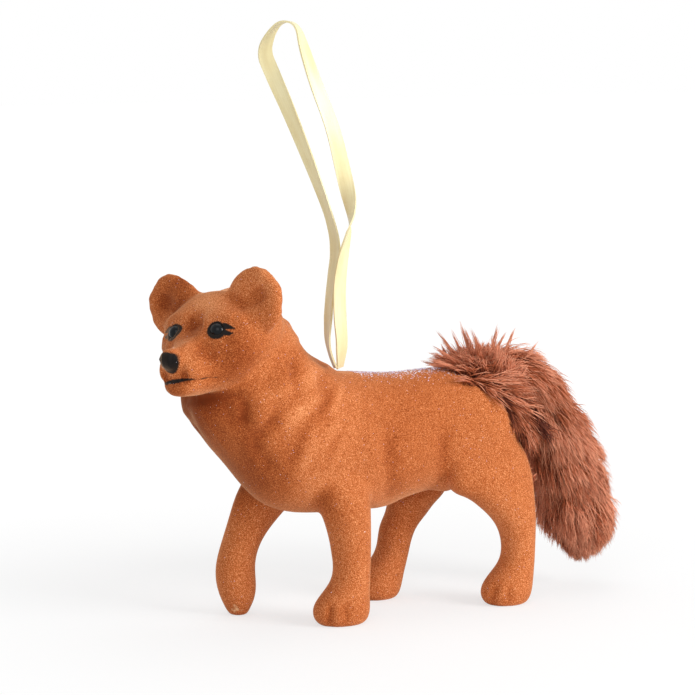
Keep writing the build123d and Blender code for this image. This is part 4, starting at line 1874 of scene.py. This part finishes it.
@dataclass
class TailBrush:
    """The brush's fibres, in clumps along the tail with strays between them.

    Reaches are shares of the brush's radius, lengths and root places are shares of the tail, turns are
    in radians and the rest is in millimetres.
    """

    pivot: Vector = field(default_factory=lambda: PIVOTS["tail_lift"])
    line_steps: int = 240
    line_blur: int = 41
    clumps: int = 470
    strands: int = 54
    strays: int = 8600
    spikes: float = 0.34
    root_span: Range = (-0.02, 0.90)
    spike_reach: Range = (1.06, 1.32)
    plain_reach: Range = (0.80, 1.02)
    stray_reach: float = 0.10
    stray_turn: float = 3.0
    spike_length: Range = (0.12, 0.19)
    plain_length: Range = (0.15, 0.26)
    length_play: Range = (0.86, 1.08)
    lean: float = 0.20
    root_spread: float = 0.022
    turn_spread: float = 0.20
    reach_spread: float = 0.04
    tip_turn_spread: float = 0.10
    tip_spread: float = 0.016
    full_share: float = 0.92
    end_run: float = 0.10
    end_round: float = 0.13
    end_reach: float = 0.25
    root_depth: float = 0.30
    swell: float = 0.55
    swell_run: float = 2.2
    tip_run: float = 3.6
    tip_dip: float = 0.9
    curl: float = 0.60
    droop: float = 0.8
    lowest: float = 6.0
    fibre: float = 0.15
    fibre_play: Range = (0.70, 1.2)
    stray_fibre: float = 0.75
    fibre_tone: float = 0.11
    clump_tone: float = 0.15
    tip_tone: float = 0.20
    root_tone: float = 0.34
    root_tone_run: float = 0.16
    seed: int = 7

    def stations(self) -> tuple[np.ndarray, np.ndarray]:
        """The brush's smooth centre line, evenly along the tail.

        Returns:
            Points of the line in millimetres, and the radius at each.
        """
        raw = np.array([(b.back, 0.0, b.up, b.diameter / 2) for b in TAIL_BRUSH])
        raw[:, :3] += np.array(self.pivot)
        knots = np.concatenate([[0], np.cumsum(np.linalg.norm(np.diff(raw[:, :3], axis=0), axis=1))])
        table = rows_at(np.linspace(0, knots[-1], self.line_steps), knots, raw)
        kernel = np.hanning(self.line_blur)
        kernel /= kernel.sum()
        half = self.line_blur // 2
        padded = np.pad(table, ((half, half), (0, 0)), mode="reflect", reflect_type="odd")
        table = np.stack([np.convolve(column, kernel, mode="valid") for column in padded.T], axis=1)
        return table[:, :3], table[:, 3]

    def frame_at(self, share: np.ndarray) -> tuple[np.ndarray, ...]:
        """The brush's own frame at places along the tail, past its end in a straight line.

        Args:
            share: Shares of the tail.

        Returns:
            Place, direction, upper side and radius.
        """
        line, radius = self.stations()
        fine = np.linspace(0, 1, len(line))
        held = np.clip(share, 0, 1)
        way = unit(rows_at(held, fine, unit(np.gradient(line, axis=0))))
        length = np.linalg.norm(np.diff(line, axis=0), axis=1).sum()
        spot = rows_at(held, fine, line) + way * ((share - held) * length)[:, None]
        upper = unit(np.cross(way, np.array((0.0, 1.0, 0.0))))
        upper *= np.where(upper[:, 2:3] + upper[:, 0:1] < 0, -1, 1)
        return spot, way, upper, np.interp(held, fine, radius)

    def outward(self, way: np.ndarray, upper: np.ndarray, turn: np.ndarray) -> np.ndarray:
        """Directions out of the brush at a turn from its upper side."""
        return upper * np.cos(turn)[:, None] + np.cross(way, upper) * np.sin(turn)[:, None]

    def grow(self) -> tuple[Fibres, np.ndarray]:
        """Draws the brush's fibres.

        Returns:
            The fibres, and the share of the tail at each one's root.
        """
        draw = np.random.default_rng(self.seed)
        count = self.clumps
        share_c = np.sort(draw.uniform(*self.root_span, count))
        turn_c = draw.uniform(0, 2 * math.pi, count)
        spike = draw.uniform(0, 1, count) < self.spikes
        reach_c = either(draw, spike, self.spike_reach, self.plain_reach)
        long_c = either(draw, spike, self.spike_length, self.plain_length)
        lean_c = draw.normal(0, self.lean, count)
        each = np.repeat(np.arange(count), self.strands)
        owner = np.concatenate([each, draw.integers(0, count, self.strays)])
        total = len(owner)
        loose = (np.arange(total) >= len(each)).astype(float)
        share = share_c[owner] + draw.normal(0, self.root_spread, total) * (1 + loose)
        turn = turn_c[owner] + draw.normal(0, self.turn_spread, total) * (1 + loose)
        reach = reach_c[owner] + draw.normal(0, self.reach_spread, total) + self.stray_reach * loose
        long = long_c[owner] * draw.uniform(*self.length_play, total)
        tip_turn = turn_c[owner] + lean_c[owner]
        tip_turn += draw.normal(0, self.tip_turn_spread, total) * (1 + self.stray_turn * loose)
        tip_share = share_c[owner] + long + draw.normal(0, self.tip_spread, total) * (1 + loose)
        beyond = np.maximum(tip_share - self.full_share, 0)
        short = self.full_share + self.end_run * (1 - np.exp(-beyond / self.end_run))
        tip_share = np.where(beyond > 0, short, tip_share)
        past = ((tip_share - self.full_share) / self.end_round) ** 2 * np.sign(beyond)
        spot, way, upper, radius = self.frame_at(share)
        out = self.outward(way, upper, turn)
        root = spot + out * (radius * self.root_depth)[:, None]
        spot2, way2, upper2, radius2 = self.frame_at(tip_share)
        out2 = self.outward(way2, upper2, tip_turn)
        tip = spot2 + out2 * (radius2 * reach * np.clip(1 - past, self.end_reach, 1))[:, None]
        tip[:, 2] = np.maximum(tip[:, 2] - self.droop * np.abs(draw.normal(0, 1, total)), self.lowest)
        first = root + out * (radius * self.swell)[:, None] + way * self.swell_run
        second = tip - way2 * self.tip_run - out2 * self.tip_dip + draw.normal(0, self.curl, (total, 3))
        tone = draw.normal(0, self.fibre_tone, total) + draw.normal(0, self.clump_tone, count)[owner]
        tone += self.tip_tone * (share - 0.5)
        tone += self.root_tone * np.clip(1 - share / self.root_tone_run, 0, 1)
        slim = np.where(loose > 0, self.stray_fibre, 1.0)
        thick = self.fibre * draw.uniform(*self.fibre_play, total) * slim
        return Fibres(np.stack([root, first, second, tip], axis=1), tone, thick), share


@dataclass
class RootTuft:
    """The tuft that stands forward over the tail's root, in millimetres; pitch in degrees, yaw in radians."""

    coat: FlockCoat
    pivot: Vector = field(default_factory=lambda: PIVOTS["tail_lift"])
    clumps: int = 300
    strands: int = 24
    wisps: float = 0.08
    ahead: Range = (-5.0, 12.0)
    width: float = 3.2
    above: float = 25.0
    pitch_places: tuple = (-5.0, 5.0, 12.0)
    pitches: tuple = (136, 78, 15)
    pitch_spread: float = 12.0
    yaw_spread: float = 0.30
    aside: float = 0.8
    wisp_reach: Range = (10.5, 14.0)
    plain_reach: Range = (4.2, 7.4)
    reach_play: Range = (0.74, 1.06)
    wisp_width: float = 0.5
    root_spread: tuple = (1.0, 1.0, 0.1)
    root_depth: float = 0.4
    tip_spread: float = 0.70
    tip_height: float = 0.6
    first_share: float = 0.3
    second_share: float = 0.72
    first_lift: tuple = (0.4, 0.0, 0.9)
    second_lift: tuple = (0.2, 0.0, 0.6)
    curl: float = 0.40
    tone: float = 0.08
    fibre_tone: float = 0.11
    clump_tone: float = 0.09
    wisp_tone: float = 0.3
    fibre: float = 0.15
    fibre_play: Range = (0.7, 1.1)
    wisp_fibre: float = 0.3
    seed: int = 8

    def feet(self, spots: np.ndarray) -> np.ndarray:
        """Places on the skin straight below others.

        Args:
            spots: Places above the skin, in millimetres.

        Returns:
            The places in millimetres.
        """
        tree = self.coat.tree()
        feet = []
        for spot in spots:
            hit, *_ = tree.ray_cast(Vector(spot) * MM, Vector((0, 0, -1)))
            feet.append(np.array(hit) / MM if hit is not None else spot - np.array((0, 0, self.above)))
        return np.array(feet)

    def grow(self) -> Fibres:
        """Draws the tuft's fibres.

        Returns:
            The fibres.
        """
        draw = np.random.default_rng(self.seed)
        count = self.clumps
        base = np.array(self.pivot)
        ahead = draw.uniform(*self.ahead, count)
        side = base[1] + draw.normal(0, self.width, count)
        feet = self.feet(np.stack([base[0] - ahead, side, np.full(count, base[2] + self.above)], axis=1))
        pitch = np.interp(ahead, self.pitch_places, self.pitches) + draw.normal(0, self.pitch_spread, count)
        pitch = np.radians(pitch)
        yaw = draw.normal(0, self.yaw_spread, count)
        wisp = draw.uniform(0, 1, count) < self.wisps
        reach = either(draw, wisp, self.wisp_reach, self.plain_reach)
        fine = np.where(wisp, self.wisp_width, 1.0)
        way = np.stack([-np.cos(pitch) * np.cos(yaw), self.aside * np.sin(yaw), np.sin(pitch)], axis=1)
        way = unit(way)
        owner = np.repeat(np.arange(count), self.strands)
        total = len(owner)
        narrow = fine[owner][:, None]
        root = feet[owner] + draw.normal(0, 1.0, (total, 3)) * np.array(self.root_spread) * narrow
        root[:, 2] -= self.root_depth
        tip = feet[owner] + way[owner] * (reach[owner] * draw.uniform(*self.reach_play, total))[:, None]
        tip += draw.normal(0, self.tip_spread, (total, 3)) * narrow ** 2
        tip[:, 2] = np.maximum(tip[:, 2], feet[owner][:, 2] + self.tip_height)
        first = root + (tip - root) * self.first_share + np.array(self.first_lift)
        second = root + (tip - root) * self.second_share + np.array(self.second_lift)
        second += draw.normal(0, self.curl, (total, 3))
        tone = draw.normal(self.tone, self.fibre_tone, total) + draw.normal(0, self.clump_tone, count)[owner]
        tone += self.wisp_tone * (1 - fine)[owner]
        slim = self.wisp_fibre + (1 - self.wisp_fibre) * fine[owner]
        thick = self.fibre * draw.uniform(*self.fibre_play, total) * slim
        return Fibres(np.stack([root, first, second, tip], axis=1), tone, thick)


@dataclass
class RumpFringe:
    """The fringe that lies back over both sides of the rump.

    Sizes are in millimetres, angles in degrees and turns in radians.
    """

    coat: FlockCoat
    pivot: Vector = field(default_factory=lambda: PIVOTS["tail_lift"])
    clumps: int = 420
    strands: int = 20
    axis_depth: float = 12.0
    cast_from: float = 40.0
    angles: Range = (8.0, 96.0)
    edge_angles: tuple = (0.0, 26.0, 45.0, 66.0, 96.0)
    edges: tuple = (-15.0, -13.5, -9.8, -5.0, -1.6)
    edge_spread: float = 0.8
    depth: float = 9.0
    crowding: Range = (1.0, 1.6)
    fall_turn: float = 1.2
    back_way: float = 0.95
    back_loss: float = 0.25
    up_way: float = 0.1
    up_loss: float = 0.85
    way_spread: float = 0.24
    lift: Range = (0.02, 0.34)
    reach: Range = (4.5, 14.0)
    reach_play: Range = (0.50, 1.15)
    root_spread: float = 0.8
    root_depth: float = 0.3
    tip_spread: float = 0.95
    draw_in: float = 0.82
    first_share: float = 0.3
    second_share: float = 0.7
    first_lift: float = 0.9
    second_lift: float = 0.8
    curl: float = 0.35
    tone: float = -0.20
    fibre_tone: float = 0.13
    clump_tone: float = 0.15
    edge_tone: float = 0.20
    # Painted shade on the fringe's lower clumps, and the turn where it starts and its run, in radians
    low_shade: float = 0.18
    low_turn: float = 0.75
    low_run: float = 0.5
    fibre: float = 0.15
    fibre_play: Range = (0.7, 1.1)
    seed: int = 9

    def feet(self, angle: np.ndarray, along: np.ndarray) -> tuple[np.ndarray, np.ndarray]:
        """Places on the rump, seen from its axis.

        Args:
            angle: Turns from straight up, in radians.
            along: Distances behind the tail's pivot.

        Returns:
            The places in millimetres, and the skin's directions there.
        """
        tree = self.coat.tree()
        feet, lifts = [], []
        for turn, back in zip(angle, along):
            out = Vector((0.0, math.sin(turn), math.cos(turn)))
            axis = self.pivot + Vector((back, 0.0, -self.axis_depth))
            hit, normal, *_ = tree.ray_cast((axis + out * self.cast_from) * MM, -out)
            feet.append(np.array(hit if hit is not None else (axis + out * self.axis_depth) * MM) / MM)
            lifts.append(np.array(normal if normal is not None else out))
        return np.array(feet), np.array(lifts)

    def grow(self) -> Fibres:
        """Draws the fringe's fibres.

        Returns:
            The fibres.
        """
        draw = np.random.default_rng(self.seed)
        count = self.clumps
        angle = np.radians(draw.uniform(*self.angles, count)) * np.sign(draw.uniform(-1, 1, count))
        edge = np.interp(np.degrees(np.abs(angle)), self.edge_angles, self.edges)
        inward = draw.beta(*self.crowding, count)
        along = edge + draw.normal(0, self.edge_spread, count) + self.depth * inward
        feet, lifts = self.feet(angle, along)
        fall = np.clip(np.abs(angle) / self.fall_turn, 0, 1)
        back, up = self.back_way - self.back_loss * fall, self.up_way - self.up_loss * fall
        way = np.stack([back, np.zeros(count), up], axis=1)
        way += draw.normal(0, self.way_spread, (count, 3))
        way = unit(way - lifts * row_dots(way, lifts)[:, None])
        way = unit(way + lifts * draw.uniform(*self.lift, count)[:, None])
        reach = draw.uniform(*self.reach, count)
        owner = np.repeat(np.arange(count), self.strands)
        total = len(owner)
        lift = lifts[owner]
        root = feet[owner] + draw.normal(0, self.root_spread, (total, 3)) * (1 - np.abs(lift))
        root = root - lift * self.root_depth
        tip = feet[owner] + way[owner] * (reach[owner] * draw.uniform(*self.reach_play, total))[:, None]
        tip += draw.normal(0, self.tip_spread, (total, 3))
        tip[:, 1] = self.pivot.y + (tip[:, 1] - self.pivot.y) * self.draw_in
        first = root + (tip - root) * self.first_share + lift * self.first_lift
        second = root + (tip - root) * self.second_share + lift * self.second_lift
        second += draw.normal(0, self.curl, (total, 3))
        tone = draw.normal(self.tone, self.fibre_tone, total) + draw.normal(0, self.clump_tone, count)[owner]
        tone += self.edge_tone * (1 - inward)[owner]
        # Painted shade darkens the clumps that hang down the rump's sides
        tone -= self.low_shade * fade(np.abs(angle), self.low_turn, self.low_run)[owner]
        thick = self.fibre * draw.uniform(*self.fibre_play, total)
        return Fibres(np.stack([root, first, second, tip], axis=1), tone, thick)


@dataclass
class FurTail:
    """The fur of the tail on its dark backing, with the tuft and the fringe on the rump, in millimetres."""

    coat: FlockCoat
    core_voxel: float = 0.9
    core_inset: float = 4.6
    core_rounds: int = 12
    sections: tuple = ("root", "upper", "middle", "lower", "tip")

    def build(self, finish: FurFinish) -> None:
        """Makes the backing, the brush in its sections, the tuft and the fringe.

        Args:
            finish: The fibres and their backing.
        """
        material = finish.build()
        self.build_core(finish.build_core())
        fibres, share = TailBrush().grow()
        bounds = np.quantile(share, np.linspace(0, 1, len(self.sections) + 1))
        bounds[-1] = np.inf
        for section, low, high in zip(self.sections, bounds, bounds[1:]):
            piece = fibres.held((share >= low) & (share < high)).build(f"tail_fur_{section}")
            dress(piece, material, Body.TAIL)
            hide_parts("tail_fur")
        dress(RootTuft(self.coat).grow().build("tail_root_tuft"), material, Body.FIGURE)
        dress(RumpFringe(self.coat).grow().build("rump_fringe"), material, Body.FIGURE)

    def build_core(self, material: bpy.types.Material) -> None:
        """Makes the dark backing inside the brush, from the solid drawn in.

        Args:
            material: The backing's finish.
        """
        core = copy_solid("tail_fur", "tail_backing")
        merge_corners(core)
        apply_modifier(core, "REMESH", mode="VOXEL", voxel_size=self.core_voxel * MM)
        apply_modifier(core, "DISPLACE", strength=-self.core_inset * MM, mid_level=0.0)
        write_points(core, Neighbours(core).relax(read_points(core), HALF_WAY, self.core_rounds))
        bpy.ops.object.shade_smooth()
        dress(core, material, Body.TAIL)
        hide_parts("tail_fur")


# Glitter


@dataclass(frozen=True)
class Flakes:
    """One scattering of flakes: their piece's name, how many there are and their sizes in millimetres."""

    name: str
    count: int
    size: Range


@dataclass
class GlitterDust:
    """Foil flakes: a strip along the back and a few all over the flock, in millimetres."""

    coat: FlockCoat
    strip: Flakes = Flakes("back_glitter", 2200, (0.16, 0.36))
    stray: Flakes = Flakes("stray_glitter", 1400, (0.10, 0.20))
    strip_run: Range = (-11.0, 25.0)
    strip_width: float = 3.4
    strip_bottom: float = 55.0
    strip_facing: float = 0.6
    sole_height: float = 2.0
    sole_facing: float = -0.5
    proud: float = 0.10
    drift: float = 0.2
    tilt: float = 0.35
    thinness: float = 0.2
    seed: int = 19

    def build(self, finish: GlitterFinish) -> None:
        """Scatters both kinds of flakes, with none under the soles.

        Args:
            finish: The foil.
        """
        draw = np.random.default_rng(self.seed)
        material = finish.build()
        skin = self.coat.piece
        ahead, aside, above = (read_faces(skin, "center") / MM).T
        facing = read_faces(skin, "normal")[:, 2]
        areas = read_faces(skin, "area", 1)[:, 0]
        start, end = self.strip_run
        back = (facing > self.strip_facing) & (ahead > start) & (ahead < end)
        weight = areas * back * (above > self.strip_bottom)
        weight *= bell(np.abs(aside - self.coat.middle), self.strip_width)
        self.scatter(self.strip, draw, weight, material)
        clear = (facing > self.sole_facing) | (above > self.sole_height)
        self.scatter(self.stray, draw, areas * clear, material)

    def scatter(self, flakes: Flakes, draw: np.random.Generator, weight: np.ndarray,
                material: bpy.types.Material) -> None:
        """Makes thin four-cornered flakes on faces of the skin, each tipped a little.

        Args:
            flakes: Which flakes.
            draw: The seeded source of chance.
            weight: How likely each face is.
            material: The foil.
        """
        count = flakes.count
        centres, normals = read_faces(self.coat.piece, "center"), read_faces(self.coat.piece, "normal")
        chosen = draw.choice(len(centres), count, p=weight / weight.sum())
        half = draw.uniform(*flakes.size, count)[:, None] / 2 * MM
        normal = normals[chosen]
        lean = unit(normal + draw.normal(0, self.tilt, (count, 3)))
        first = unit(np.cross(lean, draw.normal(0, 1, (count, 3))))
        second = np.cross(lean, first)
        drift = draw.normal(0, self.drift * MM, (count, 3)) * (1 - np.abs(normal))
        middle = centres[chosen] + normal * (self.proud * MM) + drift
        arms = [first * half, second * half, -first * half, -second * half]
        tips = [lean * half * self.thinness, -lean * half * self.thinness]
        corners = np.stack([middle + arm for arm in arms + tips], axis=1)
        upper = [(k, (k + 1) % 4, 4) for k in range(4)]
        lower = [((k + 1) % 4, k, 5) for k in range(4)]
        faces = (np.array(upper + lower)[None] + np.arange(count)[:, None, None] * 6).reshape(-1, 3)
        piece = new_piece(flakes.name, corners.reshape(-1, 3).tolist(), faces.tolist())
        dress(piece, material, Body.FIGURE)


def dress_hidden_nodes() -> None:
    """Gives the solids that stay a finish of their own."""
    hidden = HiddenFinish()
    finishes = {
        "tail_dowel": hidden.build_wood(),
        "tail_wire": hidden.build_steel(),
        "ribbon_knot": bpy.data.materials["cream_satin"],
    }
    for name, material in finishes.items():
        node = frame["nodes"][name]
        node.data.materials.clear()
        node.data.materials.append(material)
        LOG.info("%s: solid kept", name)


def main() -> None:
    """Builds the stage and every piece in order."""
    logging.basicConfig(level=logging.INFO, format="%(name)s %(message)s")
    camera = PhotoCamera()
    camera.build()
    Studio().build()
    RibbonLoop().build(SatinFinish())
    coat = FlockCoat(camera)
    coat.build(FlockFinish())
    BeadEyes(coat).build(BeadFinish())
    FurTail(coat).build(FurFinish())
    GlitterDust(coat).build(GlitterFinish())
    dress_hidden_nodes()


if __name__ == "__main__":
    main()
